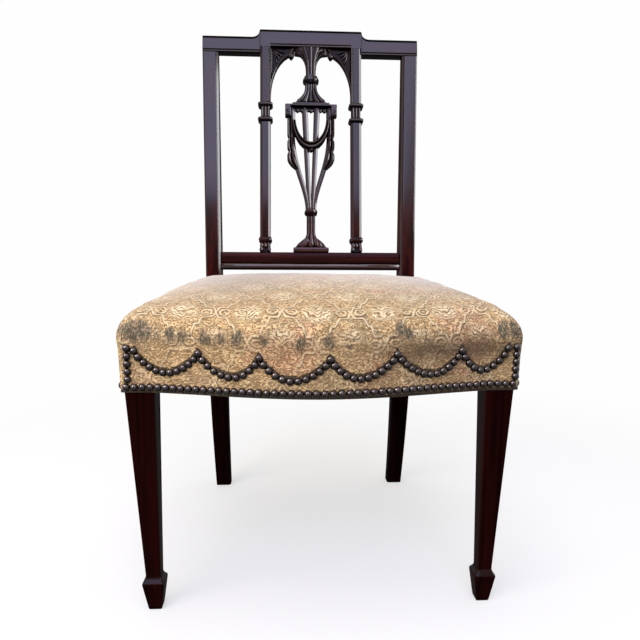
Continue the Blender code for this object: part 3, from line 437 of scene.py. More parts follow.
def use_effect(tree, group, **inputs):
    node = add_node(tree, "Group", inputs, node_tree=group)
    return {socket.name: Wire(tree, socket) for socket in node.outputs}


def grain_effect():
    """Long streaks and short pores that run along the vector's Z axis."""
    tree, vector, fineness = effect("wood_grain", Vector=None, Fineness=1.0)
    along = vector.into("VectorMath", {0: vector, "Scale": fineness}, operation="SCALE")
    broad = along.stretched(64.0, 64.0, 2.4).noise(1.0, 2.0, 0.5, 0.4)
    fine = along.stretched(290.0, 290.0, 8.0).noise(1.0, 2.0, 0.6)
    pores = along.stretched(1100.0, 1100.0, 42.0).noise(1.0, 1.0)
    return give(tree, Streak=(broad * 0.6 + fine * 0.4).rise(0.36, 0.66), Pores=pores.rise(0.62, 0.74))


def hollow_dust_and_shade_effect():
    """Darker hollows: painted shade, with the old wax and dust that lie there."""
    tree, reach = effect("hollow_dust_and_shade", Reach=0.006)
    lit = reach.into("AmbientOcclusion", {"Distance": reach}, "AO", samples=8)
    return give(tree, Hollow=lit.rise(0.3, 0.86, 1.0, 0.0))


def weave_effect():
    """Plain weave over UVs in metres: the relief of its threads, and how uneven they are."""
    tree, vector, thread = effect("plain_weave", Vector=None, Thread=0.001)
    across, along, _ = vector.axes()
    across = across / thread
    along = along / thread
    warp = (across * math.pi).sin().abs() ** 0.6
    weft = (along * math.pi).sin().abs() ** 0.6
    over = ((across.floor() + along.floor()) * 0.5).fract().rise(0.2, 0.3)
    slub = vector.stretched(900.0, 60.0, 1.0).noise(1.0, 2.0)
    return give(tree, Relief=warp * over + weft * (1.0 - over), Slub=slub)


GRAIN = grain_effect()
HOLLOW_DUST_AND_SHADE = hollow_dust_and_shade_effect()
WEAVE = weave_effect()


# Materials


def new_material(name, **fixed):
    """A Principled material with its fixed values, and its tree and shader."""
    material = bpy.data.materials.new(name)
    material.use_nodes = True
    tree = material.node_tree
    shader = tree.nodes["Principled BSDF"]
    feed(tree, shader, **fixed)
    return material, tree, shader


def bump(tree, shader, height, distance, strength):
    relief = {"Height": height, "Distance": distance, "Strength": strength}
    feed(tree, shader, Normal=height.into("Bump", relief, "Normal"))


MAHOGANY_DARK = (0.006, 0.0009, 0.0008)
MAHOGANY_RED = (0.04, 0.0044, 0.0036)
MAHOGANY_BLACKENED = (0.0065, 0.0036, 0.0045)
DARKENED_WOOD = (0.0012, 0.0008, 0.0008)
LOW_POLISH = 0.05
HIGH_POLISH = 0.62
SIDE_POLISH = 0.06
EDGE_POLISH = 0.9
SHOULDER_POLISH = 0.22


def mahogany(name, level):
    """Old polished mahogany whose grain runs along Z, or along X in a level piece."""
    material, tree, shader = new_material(name, Specular_IOR_Level=0.0, Coat_Roughness=0.11, Coat_IOR=1.5)
    place = place_on(tree)
    grain = use_effect(tree, GRAIN, Vector=place.turned() if level else place)
    marks = use_effect(tree, HOLLOW_DUST_AND_SHADE, Reach=0.007)
    sideways, _, upward = facing(tree)
    sideways = sideways.abs()
    height = place.axes()[2]
    cloud = place.noise(9.0)
    # painted shade: on surfaces facing down, on points that carry it, and in the hollows along with their
    # old wax and dust
    under = upward.rise(-0.5, -0.06, 1.0, 0.0)
    shading = (marks["Hollow"] * 0.9).most(painted(tree, "painted_shade")).most(under * 0.94)
    wood = layered(
        MAHOGANY_DARK,
        (MAHOGANY_RED, grain["Streak"] * 0.8 + cloud * 0.2),
        # the legs are darker below the seat, and the upper back has gone dark under its polish
        (DARKENED_WOOD, height.rise(0.3, 0.4, 0.66, 0.0)),
        (MAHOGANY_BLACKENED, height.rise(0.56, 0.72, 0.0, 0.6)),
        # the painted shade darkens the wood here and dulls its polish below
        (DARKENED_WOOD, shading * 0.92),
    )
    # the upper back, the shoulders of the feet and rubbed edges keep their polish
    polish = height.rise(0.44, 0.68, LOW_POLISH, HIGH_POLISH) * height.rise(0.3, 0.42, 0.1, 1.0)
    shoulder = upward.rise(0.16, 0.3) * height.rise(0.07, 0.09, 1.0, 0.0)
    rubbed = sideways.rise(0.26, 0.42) * height.rise(0.3, 0.46, 0.04, EDGE_POLISH)
    polish = polish.most(painted(tree, "shine")).most(shoulder * SHOULDER_POLISH).most(rubbed)
    beside = sideways.rise(0.84, 0.96)
    polish = (polish * (1.0 - beside) + beside * SIDE_POLISH) * (1.0 - shading * 0.97)
    rough = 0.3 + cloud * 0.1 + grain["Pores"] * 0.1
    feed(tree, shader, Base_Color=wood, Coat_Weight=polish, Roughness=rough)
    bump(tree, shader, grain["Pores"] * -0.6 + grain["Streak"] * 0.4, 0.00008, 0.4)
    return material


def beech():
    """Plain unpolished beech with saw marks and darker flecks."""
    material, tree, shader = new_material("seat_frame_beech_wood", Specular_IOR_Level=0.3)
    place = place_on(tree)
    grain = use_effect(tree, GRAIN, Vector=place.turned(), Fineness=0.8)
    marks = use_effect(tree, HOLLOW_DUST_AND_SHADE, Reach=0.012)
    wood = layered(
        (0.3, 0.17, 0.085),
        ((0.46, 0.29, 0.15), grain["Streak"]),
        ((0.16, 0.08, 0.04), grain["Pores"] * 0.5),
        # painted shade in the hollows, where dust lies too
        ((0.1, 0.055, 0.03), marks["Hollow"] * 0.75),
    )
    feed(tree, shader, Base_Color=wood, Roughness=0.62 + grain["Streak"] * 0.2)
    bump(tree, shader, place.stretched(420.0, 420.0, 18.0).noise(1.0), 0.0004, 0.5)
    return material


def woven(name, thread, light, dark, stripe=None):
    """A coarse plain-woven cloth over UVs in metres, with an optional woven stripe."""
    material, tree, shader = new_material(name, Specular_IOR_Level=0.2, Sheen_Weight=0.15)
    flat = place_in_cloth(tree)
    cloth = use_effect(tree, WEAVE, Vector=flat, Thread=thread)
    colour = layered(dark, (light, cloth["Relief"] * 0.6 + cloth["Slub"] * 0.4))
    if stripe:
        from_edge = (flat.axes()[0].abs() - WEB_WIDE * 0.33).abs()
        colour = layered(colour, (stripe, from_edge.rise(0.0012, 0.0022, 0.8, 0.0)))
    feed(tree, shader, Base_Color=colour, Roughness=0.82 + cloth["Slub"] * 0.15)
    bump(tree, shader, cloth["Relief"], thread * 0.5, 0.9)
    return material


# The figure of the seat's cloth, in millimetres
REPEAT_WIDE = 88.0
REPEAT_LONG = 104.0
FIGURE_FROM = (34.0, 22.0)
# (start, stop, drop) of each step down a strap, along its run
STRAP_STEPS = ((-1.0, 6.0, 10.0), (14.0, 23.0, 17.0), (24.0, 31.0, 15.0), (38.0, 45.0, 10.0))
EYE_OFF = 12.5
EYE_WIDE = 6.6
EYE_LONG = 4.6

# The cloth's colours, and how far below a raised line its shadow falls, in metres
SHADOW_DROP = 0.0026
GOLD_PALE = (0.95, 0.72, 0.39)
GOLD_CREAM = (0.98, 0.8, 0.5)
GOLD_GROUND = (0.64, 0.41, 0.195)
GOLD_OLIVE = (0.3, 0.2, 0.085)
GOLD_GREEN = (0.4, 0.34, 0.2)
GOLD_DEEP = (0.16, 0.1, 0.045)
GOLD_ROSE = (0.7, 0.33, 0.2)
SHEEN_PALE = (0.93, 0.87, 0.82)
WORN_BARE = (0.04, 0.052, 0.036)
WORN_THIN = (0.25, 0.165, 0.115)
WORN_PALE = (0.66, 0.52, 0.33)
SOILED = (0.22, 0.125, 0.055)
EDGE_AND_SHADE_DARK = (0.022, 0.017, 0.013)
DUSK_SHADE = (0.085, 0.056, 0.03)


def from_strap(x, y):
    """Distance from a strap that steps down from a crossing at (0, 0) to the next one."""
    fall = 0.0
    slope = 0.0
    for start, stop, drop in STRAP_STEPS:
        share = (x - start).step("DIVIDE", stop - start, clamped=True)
        fall = x.rise(start, stop, 0.0, drop) + fall
        slope = share * (1.0 - share) * (6.0 * drop / (stop - start)) + slope
    return (y + fall).abs() / (slope * slope + 1.0).sqrt()


def figure_effect():
    """A half-drop trellis of stepped straps that cross between pairs of eyes, with sprays inside."""
    tree, vector = effect("trellis_figure", Vector=None)
    u, v, _ = vector.axes()
    u = (u * 1000.0 - FIGURE_FROM[0]) / REPEAT_WIDE
    v = (v * 1000.0 - FIGURE_FROM[1]) / REPEAT_LONG
    half_wide = REPEAT_WIDE / 2
    half_long = REPEAT_LONG / 2
    across = ((u + 0.5).fract() - 0.5).abs() * REPEAT_WIDE
    up = ((v + 0.5).fract() - 0.5) * REPEAT_LONG
    up_between = (v.fract() - 0.5) * REPEAT_LONG
    strap_near = from_strap(across, up).least(from_strap(half_wide - across, up - half_long))
    lines = strap_near.rise(0.8, 2.0, 1.0, 0.0)
    # a pair of leaf-shaped eyes beside each crossing, each a ring round a soft spot
    between = half_wide - EYE_OFF
    for middle, level in ((EYE_OFF, 0.0), (between, half_long), (between, -half_long)):
        dx = (across - middle) / EYE_WIDE
        dy = (up - level) / EYE_LONG
        near = (dx * dx + dy * dy).sqrt()
        lines = lines.most((near - 1.0).abs().rise(0.1, 0.3, 1.0, 0.0))
        lines = lines.most(near.rise(0.1, 0.3, 0.8, 0.0))
    # a spray of curling strokes in each space
    curl = vector.noise(130.0, 1.0)
    spreads = []
    sprays = []
    for x, y in ((across, up_between), (half_wide - across, up)):
        stroke = (y * 0.95 - x * 0.62 + curl * 17.0).sin().rise(-0.7, 0.1)
        spread = (x / 23.0) ** 2.0 + (y.abs() / 24.0) ** 2.0
        sprays.append(stroke * spread.rise(0.3, 1.0, 1.0, 0.0))
        spreads.append(spread.rise(0.4, 1.1, 1.0, 0.0))
    return give(tree, Lines=lines, Sprays=sprays[0].most(sprays[1]), Inside=spreads[0].most(spreads[1]))


FIGURE = figure_effect()


def gold_cloth():
    """Worn figured cloth: trellis in pale gold on tan, bare and soiled along the roll."""
    material, tree, shader = new_material(
        "gold_tapestry_cloth",
        Specular_IOR_Level=0.12,
        Sheen_Weight=0.1,
        Sheen_Roughness=0.45,
        Sheen_Tint=(1.0, 0.93, 0.85),
    )
    flat = place_in_cloth(tree)
    place = place_on(tree)
    uneven_flat = flat.shaken(20.0, 0.006).shaken(150.0, 0.0026)
    figure = use_effect(tree, FIGURE, Vector=uneven_flat)
    above = use_effect(tree, FIGURE, Vector=uneven_flat.moved(0.0, SHADOW_DROP, 0.0))
    cloth = use_effect(tree, WEAVE, Vector=flat, Thread=0.00085)
    marks = use_effect(tree, HOLLOW_DUST_AND_SHADE, Reach=0.006)
    rubbed = painted(tree, "bare")
    soiled = painted(tree, "soiled")
    cloud = place.noise(16.0, 3.0, 0.6)
    patch = place.noise(11.0)
    shade = flat.noise(30.0, 3.0, 0.65)
    ragged = flat.noise(80.0, 4.0, 0.8)
    streaks = flat.stretched(330.0, 60.0, 1.0).noise(1.0, 3.0, 0.65)
    threads = flat.stretched(480.0, 210.0, 1.0).noise(1.0, 2.0, 0.6)
    # small curling stitches that fill the ground
    stitch = (flat.stretched(0.85, 1.5, 1.0).noise(118.0, 1.0, 0.5, 0.5) * 32.0).sin()
    calm = 1.0 - figure["Inside"] * (1.0 - soiled) * 0.4
    # the figure is partly lost, more so where the cloth is soiled
    kept = flat.noise(75.0).rise(0.3, 0.52, 0.66, 1.0) * (1.0 - soiled * 0.4)
    lines = figure["Lines"] * kept
    sprays = figure["Sprays"] * kept * (1.0 - soiled * 0.85)
    raised = figure["Lines"].most(figure["Sprays"] * 0.6)
    shadow = (above["Lines"].most(above["Sprays"] * 0.6) - raised).rise(0.1, 0.9)
    # the roll is worn thin and bare in ragged places
    bare = (rubbed + ((streaks - 0.5) * 1.6 + (ragged - 0.5) * 5.0) * 0.7).rise(0.42, 0.86)
    thin = (rubbed * 1.3 + (streaks - 0.5) * 2.4 + (ragged - 0.5) * 1.6).rise(0.32, 0.85)
    lining = layered(WORN_BARE, (WORN_PALE, threads.rise(0.5, 0.68, 0.0, 0.75)))
    soil = soiled * flat.noise(46.0, 3.0, 0.6).rise(0.36, 0.64, 0.1, 1.0)
    # a short torn slit on the roll shows the pale stuffing cloth
    along, down, _ = flat.axes()
    off = (down + 0.027 + (ragged - 0.5) * 0.022).abs()
    torn = off.rise(0.0004, 0.0018, 1.0, 0.0) * along.rise(0.008, 0.016) * along.rise(0.04, 0.05, 1.0, 0.0)
    # painted shade along the lower edge under the nails, where the cloth's cut edge is dark too, a dark
    # line over the festoon, and painted shade in the hollows
    shaded = (painted(tree, "shaded") + (ragged - 0.5) * 2.2).rise(0.4, 0.8) * 0.85
    edge = place.axes()[2].rise(0.3118, 0.315, 0.95, 0.0).most(shaded).most(marks["Hollow"] * 0.8)
    colour = layered(
        GOLD_GROUND,
        (GOLD_ROSE, patch.rise(0.5, 0.66, 0.0, 0.75)),
        (GOLD_GREEN, cloud.rise(0.48, 0.68, 0.0, 0.6)),
        (GOLD_OLIVE, shade.rise(0.48, 0.7, 0.0, 0.5)),
        (GOLD_DEEP, stitch.rise(-0.95, -0.25, 0.72, 0.0) * calm),
        (GOLD_PALE, stitch.rise(-0.05, 0.75, 0.0, 0.66) * calm),
        (GOLD_OLIVE, figure["Inside"] * (1.0 - figure["Sprays"]) * 0.36),
        (GOLD_CREAM, sprays * 0.95),
        (GOLD_DEEP, shadow * kept * 0.85),
        (GOLD_CREAM, lines * 0.8),
        (GOLD_OLIVE, cloth["Relief"].rise(0.1, 0.9, 0.15, 0.0)),
        # a painted sheen pales the top towards the rear
        (SHEEN_PALE, painted(tree, "rear_sheen") * (0.7 + 0.6 * shade) * 0.74),
        (WORN_THIN, thin * 0.65),
        (lining, bare * 0.8),
        (SOILED, soil * 0.34),
        # painted shade on the right of the roll, and a darker patch on the top
        (DUSK_SHADE, painted(tree, "dusk_shade")),
        (GOLD_PALE, torn * 0.75),
        (EDGE_AND_SHADE_DARK, edge),
    )
    feed(tree, shader, Base_Color=colour, Roughness=0.8 + cloth["Slub"] * 0.15)
    relief = lines + sprays * 0.6 + stitch.rise(-0.9, 0.9) * 0.75
    relief = relief * (1.0 - bare) + threads * 0.4 * bare + cloth["Relief"] * 0.2
    bump(tree, shader, relief, 0.0016, 0.9)
    return material


def bronze():
    """Dark antiqued nail heads, with painted shade that leaves them brighter on top than underneath."""
    material, tree, shader = new_material("bronzed_nail_heads", Metallic=0.9, Coat_Roughness=0.14)
    place = place_on(tree)
    marks = use_effect(tree, HOLLOW_DUST_AND_SHADE, Reach=0.004)
    mottle = place.noise(420.0, 3.0, 0.6)
    upward = facing(tree)[2]
    # painted shade on the lower half of each head and in the hollows round it
    shading = (marks["Hollow"] * 0.9).most(upward.rise(-0.45, 0.4, 0.95, 0.0))
    tone = layered(
        (0.014, 0.0085, 0.0068),
        ((0.065, 0.042, 0.034), mottle.rise(0.3, 0.7)),
        ((0.004, 0.003, 0.003), shading),
    )
    feed(tree, shader, Base_Color=tone, Roughness=0.26 + mottle * 0.2, Coat_Weight=0.85 - shading * 0.8)
    bump(tree, shader, place.noise(700.0), 0.00025, 0.5)
    return material


UPRIGHT_MAHOGANY = mahogany("polished_mahogany_upright", False)
LEVEL_MAHOGANY = mahogany("polished_mahogany_level", True)
BEECH = beech()
JUTE = woven("jute_webbing_weave", 0.0021, (0.42, 0.32, 0.19), (0.17, 0.12, 0.065), (0.1, 0.12, 0.16))
HESSIAN = woven("hessian_weave", 0.0016, (0.36, 0.27, 0.15), (0.12, 0.085, 0.045))
GOLD_CLOTH = gold_cloth()
BRONZE = bronze()


# Mesh building
CREASE = math.radians(28)


def add_loft(bm, rings, capped=True, painted_shade=0.0):
    """Skins rings of equally many points and caps both ends. The painted shade of each point is a number,
    or a rule from its ring and its place in the ring."""
    layer = bm.verts.layers.float.get("painted_shade") or bm.verts.layers.float.new("painted_shade")
    loops = [[bm.verts.new(point) for point in points] for points in rings]
    for i, loop in enumerate(loops):
        for k, vert in enumerate(loop):
            vert[layer] = painted_shade(i, k) if callable(painted_shade) else painted_shade
    for lower, upper in zip(loops, loops[1:]):
        for i in range(len(lower)):
            j = (i + 1) % len(lower)
            bm.faces.new((lower[i], lower[j], upper[j], upper[i]))
    if capped:
        bm.faces.new(list(reversed(loops[0])))
        bm.faces.new(loops[-1])
    return loops


def link_mesh(name, bm):
    """A bmesh as an object in the scene."""
    mesh = bpy.data.meshes.new(name)
    bm.to_mesh(mesh)
    bm.free()
    thing = bpy.data.objects.new(name, mesh)
    bpy.context.scene.collection.objects.link(thing)
    return thing


def bare_object(name, bm, place=PLAN):
    """A form with no finish, set in place."""
    bm.transform(place)
    bmesh.ops.recalc_face_normals(bm, faces=bm.faces)
    return link_mesh(name, bm)


def mark_points(mesh, name, values):
    """Gives each point of a mesh a value that materials can read."""
    layer = mesh.attributes.new(name, "FLOAT", "POINT")
    layer.data.foreach_set("value", np.array(values, np.float32))


def dress(thing, nodes=()):
    """Makes an object ride on the chair, and hides the CAD nodes it stands for."""
    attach(thing, "root")
    if nodes:
        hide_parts(*nodes)
    return thing


def make_piece(name, bm, material, nodes=(), place=None, shine=None):
    """Turns a bmesh into a piece of the chair."""
    bmesh.ops.recalc_face_normals(bm, faces=bm.faces)
    shines = [shine(vert.co) for vert in bm.verts] if shine else None
    if place is not None:
        bm.transform(place)
    thing = link_mesh(name, bm)
    if shines:
        mark_points(thing.data, "shine", shines)
    thing.data.materials.append(material)
    thing.data.shade_smooth()
    thing.data.set_sharp_from_angle(angle=CREASE)
    return dress(thing, nodes)


def make_wooden(name, bm, node, place=BACK, material=UPRIGHT_MAHOGANY, shine=None):
    return make_piece(name, bm, material, (node,), place, shine)


def on_side(rings, sign):
    """The same rings for the chair's right side, or mirrored for its left."""
    return [[(sign * x, y, z) for x, y, z in points] for points in rings]


def standing(section, up):
    return [(x, depth, up) for x, depth in section]


def corner(x, y, radius, start, steps=5):
    """Points round one corner of a section, from a start angle in degrees."""
    angles = [math.radians(start + 90.0 * i / steps) for i in range(steps + 1)]
    return [(x + radius * math.cos(angle), y + radius * math.sin(angle)) for angle in angles]


def rounded_rectangle(x0, x1, y0, y1, radius):
    return (
        corner(x1 - radius, y0 + radius, radius, -90)
        + corner(x1 - radius, y1 - radius, radius, 0)
        + corner(x0 + radius, y1 - radius, radius, 90)
        + corner(x0 + radius, y0 + radius, radius, 180)
    )


def chamfered(half, front, rear, chamfer, middle=0.0):
    """A bar's section: flat face, crisp low chamfers that end short of the sides, and square back."""
    low = front + chamfer * 0.58
    right = [(half, rear), (half, low + 0.0012), (half - 0.0004, low), (half - 0.0004 - chamfer, front)]
    left = [(-x, y) for x, y in reversed(right)]
    return [(middle + x, y) for x, y in right + left]


def half_round(half, front, rear, square):
    """A section flat behind and elliptical in front, or squarer than an ellipse."""
    waist = lerp(front, rear, STEM_WAIST)
    points = [(-half, rear), (half, rear)]
    for share in shares(14):
        angle = math.pi * share
        across = math.copysign(abs(math.cos(angle)) ** square, math.cos(angle))
        points.append((half * across, waist + (front - waist) * max(math.sin(angle), 0.0) ** square))
    return points


def face_depth(x, half, front, square=1.0):
    """Depth of a half-round form's face at x."""
    waist = lerp(front, SPLAT_BACK, STEM_WAIST)
    power = 2.0 / square
    return waist + (front - waist) * max(1.0 - abs(x / half) ** power, 0.0) ** (1.0 / power)


def add_reed(bm, path, half_widths, proud, steps=10, shading=0.85):
    """A half-round rib laid on a face along (x, depth, up) points, with painted shade along both its edges.
    It has one half-width, or one for each point."""
    if isinstance(half_widths, float):
        half_widths = [half_widths] * len(path)
    rings = []
    foot = proud * 0.8
    for i, (x, depth, up) in enumerate(path):
        before = path[max(i - 1, 0)]
        after = path[min(i + 1, len(path) - 1)]
        run = Vector((after[0] - before[0], after[2] - before[2])).normalized()
        half = half_widths[i]
        rise = proud * half / max(half_widths)
        points = []
        for share in shares(steps):
            off = half * math.cos(math.pi * share)
            points.append((x + run.y * off, depth - rise * math.sin(math.pi * share), up - run.x * off))
        for off in (-half * 0.7, half * 0.7):
            points.append((x + run.y * off, depth + foot, up - run.x * off))
        rings.append(points)
    edge = [shading * (1.0 - math.sin(math.pi * min(k, steps) / steps)) ** 1.5 for k in range(steps + 3)]
    add_loft(bm, rings, painted_shade=lambda i, k: edge[k])


def leaf_widths(count, widest, tip, full_at):
    """Half-widths of a leaf: fine at both ends, widest part way along."""
    widths = []
    for share in shares(count - 1):
        if share < full_at:
            swell = math.sin(share / full_at * math.pi / 2) ** 0.8
        else:
            swell = math.cos((share - full_at) / (1.0 - full_at) * math.pi / 2) ** 0.6
        widths.append(widest * lerp(tip, 1.0, swell))
    return widths


def blunt_widths(steps, widest, power, tip):
    """Half-widths of a tongue: full for most of its length, rounded off at its end."""
    return [widest * math.sqrt(max(1.0 - share**power, tip)) for share in shares(steps)]


def swelling(low, high, peak, start=0.0, steps=12, power=0.6):
    """(height, swell) up one half-round ring."""
    swells = [lerp(start, peak, max(math.sin(math.pi * share), 0.0) ** power) for share in shares(steps)]
    return [(lerp(low, high, share), swell) for share, swell in zip(shares(steps), swells)]


def bow(x):
    """How far the front of the seat stands forward of the legs."""
    share = min(abs(x) / LEG_INNER_X, 1.0)
    flat = (1.0 + math.cos(math.pi * share)) / 2
    return FRONT_BOW * lerp(1.0 - share * share, flat, BOW_EASE)


def side_x(y):
    """Outer face of the side rail."""
    share = (y - LEG_SQUARE) / (SEAT_DEPTH - LEG_SQUARE)
    return lerp(LEG_OUTER_X, POST_OUTER["rail"], max(share, 0.0))


SIDE_SLANT = math.cos(math.atan2(LEG_OUTER_X - POST_OUTER["rail"], SEAT_DEPTH - LEG_SQUARE))


# Front legs with spade feet


def leg_ring(square, z):
    down = 1.0 - min(z / RAIL_BOTTOM, 1.0)
    x = LEG_AXIS_X - LEG_LEAN * down
    y = LEG_SQUARE / 2 - LEG_STRIDE * down
    half = square / 2
    radius = LEG_ARRIS * square / LEG_SQUARE
    return standing(rounded_rectangle(x - half, x + half, y - half, y + half, radius), z)


def front_leg(side, sign):
    bm = bmesh.new()
    taper = straight(SPADE_PROFILE[-1], (RAIL_BOTTOM, LEG_SQUARE), 12)
    profile = [*SPADE_PROFILE, *taper[1:], (RAIL_TOP, LEG_SQUARE)]
    add_loft(bm, on_side([leg_ring(square, z) for z, square in profile], sign))
    make_wooden(f"tapered_leg_{side}", bm, f"front_leg_{side}", PLAN)


# Back posts with a bevelled fillet along the inner edge
LEG_STATIONS = 20


def post_section(inner, outer, front, rear, groove):
    """A post's section, with a bevelled fillet and quirk on its inner front edge."""
    return corner(outer - EASE, rear - EASE, EASE, 0) + corner(inner + EASE, rear - EASE, EASE, 90) + [
        (inner, front + 0.0038),
        (inner + 0.0004, front + 0.0025),
        (inner + 0.0044, front + 0.0001),
        (inner + BEAD, front + QUIRK * 1.1 * groove),
        (inner + BEAD + QUIRK, front + QUIRK * 0.25 * groove),
        (inner + BEAD + 1.6 * QUIRK, front),
        (inner + BEAD + 2.8 * QUIRK, front),
        (outer - 0.0028, front),
        (outer - 0.0004, front + 0.0015),
        (outer, front + 0.0026),
    ]


def post_size(low, high, share):
    """Inner edge, outer edge and depth of a post, part way between two of its levels."""
    return [lerp(sizes[low], sizes[high], share) for sizes in (POST_INNER, POST_OUTER, POST_DEEP)]


def back_post(side, sign):
    bm = bmesh.new()
    rings = []
    for share in shares(LEG_STATIONS):
        inner, outer, deep = post_size("floor", "rail", share)
        front = SEAT_DEPTH + REAR_SPLAY * (1.0 - share) ** SPLAY_POWER
        rings.append(standing(post_section(inner, outer, front, front + deep, 0.0), RAIL_BOTTOM * share))
    for z in (RAIL_TOP, 0.41, BACK_LINE_Z):
        share = (z - RAIL_TOP) / (BACK_LINE_Z - RAIL_TOP)
        inner, outer, deep = post_size("rail", "seat", share)
        rings.append(standing(post_section(inner, outer, SEAT_DEPTH, SEAT_DEPTH + deep, share), z))
    lean = Matrix.Translation((0.0, SEAT_DEPTH, BACK_LINE_Z)) @ Matrix.Rotation(-RAKE, 4, "X")
    for up in (0.02, LOW_RAIL_TOP, 0.15, 0.25, 0.35, CREST_BOTTOM - GAP):
        inner, outer, deep = post_size("seat", "top", up / CREST_BOTTOM)
        section = standing(post_section(inner, outer, 0.0, deep, 1.0), up)
        rings.append([tuple(lean @ Vector(point)) for point in section])
    # the legs below the seat are left dull and dark with painted shade
    add_loft(bm, on_side(rings, sign), painted_shade=lambda i, k: 0.55 if i <= LEG_STATIONS else 0.0)
    make_wooden(f"raked_post_{side}", bm, f"back_post_{side}", PLAN)


# Crest rail and lower back rail
TOP_BEAD = 0.0013
# painted shade in the quirk under the top bead, by place in the section
QUIRK_SHADE = {18: 0.6, 19: 1.0, 20: 1.0, 21: 0.3}


def rail_section(x, front, rear, low, high, groove=1.0):
    """A rail's section at x, with a fine bead along its top edge and another along its lower edge."""
    radius = BEAD / 2
    bead_end = high - 2 * TOP_BEAD
    points = corner(rear - RAIL_ARRIS, low + RAIL_ARRIS, RAIL_ARRIS, -90)
    points += corner(rear - RAIL_ARRIS, high - RAIL_ARRIS, RAIL_ARRIS, 0)
    points += corner(front + TOP_BEAD, high - TOP_BEAD, TOP_BEAD, 90)
    points += [
        (front + TOP_BEAD * 0.6, bead_end + TOP_BEAD * 0.1),
        (front + 0.0016, bead_end - 0.0004),
        (front + 0.0016, bead_end - 0.0012),
        (front, bead_end - 0.0022),
        (front, bead_end - 0.0034),
        (front, low + BEAD + 2.8 * QUIRK),
        (front, low + BEAD + 1.6 * QUIRK),
        (front + QUIRK * 0.25 * groove, low + BEAD + QUIRK),
        (front + QUIRK * 1.1 * groove, low + BEAD),
        (front + radius * 0.16 * groove, low + BEAD * 0.78),
    ]
    round_edge = lerp(0.0003, radius, groove)
    points += corner(front + round_edge, low + round_edge, round_edge, 180, 7)
    return [(x, depth, up) for depth, up in points]


def crest_rail():
    bm = bmesh.new()
    half = []
    for inset in (RAIL_ARRIS, RAIL_ARRIS * 0.4, 0.0):
        x = POST_OUTER["top"] - (RAIL_ARRIS - inset)
        inset *= 0.8
        half.append(rail_section(x, inset, CREST_THICK - inset, CREST_BOTTOM + inset, CREST_TOP - inset))
    for share in shares(SHOULDER_STEPS):
        turn = math.pi / 2 * share
        x = TABLET_HALF + SHOULDER * (1.0 - math.sin(turn))
        top = CREST_TOP + SHOULDER_RISE * (1.0 - math.cos(turn))
        half.append(rail_section(x, 0.0, CREST_THICK, CREST_BOTTOM, top))
    # the tablet stands proud, flush with the columns under its ends
    edge = TABLET_HALF - QUIRK
    for x, front, low, groove in (
        (edge, 0.0, CREST_BOTTOM, 1.0),
        (edge - 0.3 * QUIRK, COLUMN_FACE * 0.7, CREST_BOTTOM, 0.0),
        (edge - QUIRK, COLUMN_FACE, CREST_BOTTOM, 0.0),
        (COLUMN_OUTER, COLUMN_FACE, CREST_BOTTOM, 0.0),
        (COLUMN_OUTER, COLUMN_FACE, TABLET_BOTTOM, 0.0),
        (COLUMN_INNER + QUIRK, COLUMN_FACE, TABLET_BOTTOM, 0.0),
        (COLUMN_INNER, COLUMN_FACE, TABLET_BOTTOM, 1.0),
        (0.04, COLUMN_FACE, TABLET_BOTTOM, 1.0),
    ):
        half.append(rail_section(x, front, CREST_THICK, low, TABLET_TOP, groove))
    add_loft(bm, half + on_side(reversed(half), -1), painted_shade=lambda i, k: QUIRK_SHADE.get(k, 0.0))
    make_wooden("tablet_crest_rail", bm, "crest_rail", material=LEVEL_MAHOGANY)


def lower_rail():
    bm = bmesh.new()
    half = lerp(POST_INNER["seat"], POST_INNER["top"], LOW_RAIL_BOTTOM / CREST_BOTTOM) - GAP
    bead_top = LOW_RAIL_BOTTOM + LOW_BEAD
    rings = []
    for x in (-half, 0.004 - half, 0.008 - half, -0.1, 0.0, 0.1, half - 0.008, half - 0.004, half):
        section = corner(LOW_RAIL_THICK - RAIL_ARRIS, LOW_RAIL_BOTTOM + RAIL_ARRIS, RAIL_ARRIS, -90)
        section += corner(LOW_RAIL_THICK - RAIL_ARRIS, LOW_RAIL_TOP - RAIL_ARRIS, RAIL_ARRIS, 0)
        section += corner(RAIL_ARRIS, LOW_RAIL_TOP - RAIL_ARRIS, RAIL_ARRIS, 90)
        section += [(0.0, bead_top + 3.0 * QUIRK), (0.0, bead_top + 1.7 * QUIRK)]
        section.append((QUIRK, bead_top + 0.6 * QUIRK))
        # the bead dies into the posts at its ends
        proud = LOW_BEAD_PROUD * smooth(0.0, 0.008, half - abs(x))
        for share in shares(14):
            depth = 0.0004 - (proud + 0.0004) * math.sin(math.pi * share) ** 0.85
            section.append((depth, LOW_RAIL_BOTTOM + LOW_BEAD / 2 * (1.0 + math.cos(math.pi * share))))
        rings.append([(x, depth, up) for depth, up in section])
    add_loft(bm, rings)

    def shine(at):
        return 1.0 if at.z < bead_top and at.y < 0.0 else 0.0

    make_wooden("beaded_lower_rail", bm, "lower_back_rail", material=LEVEL_MAHOGANY, shine=shine)


# Columns with ringed, reeded capitals and leaf-carved feet


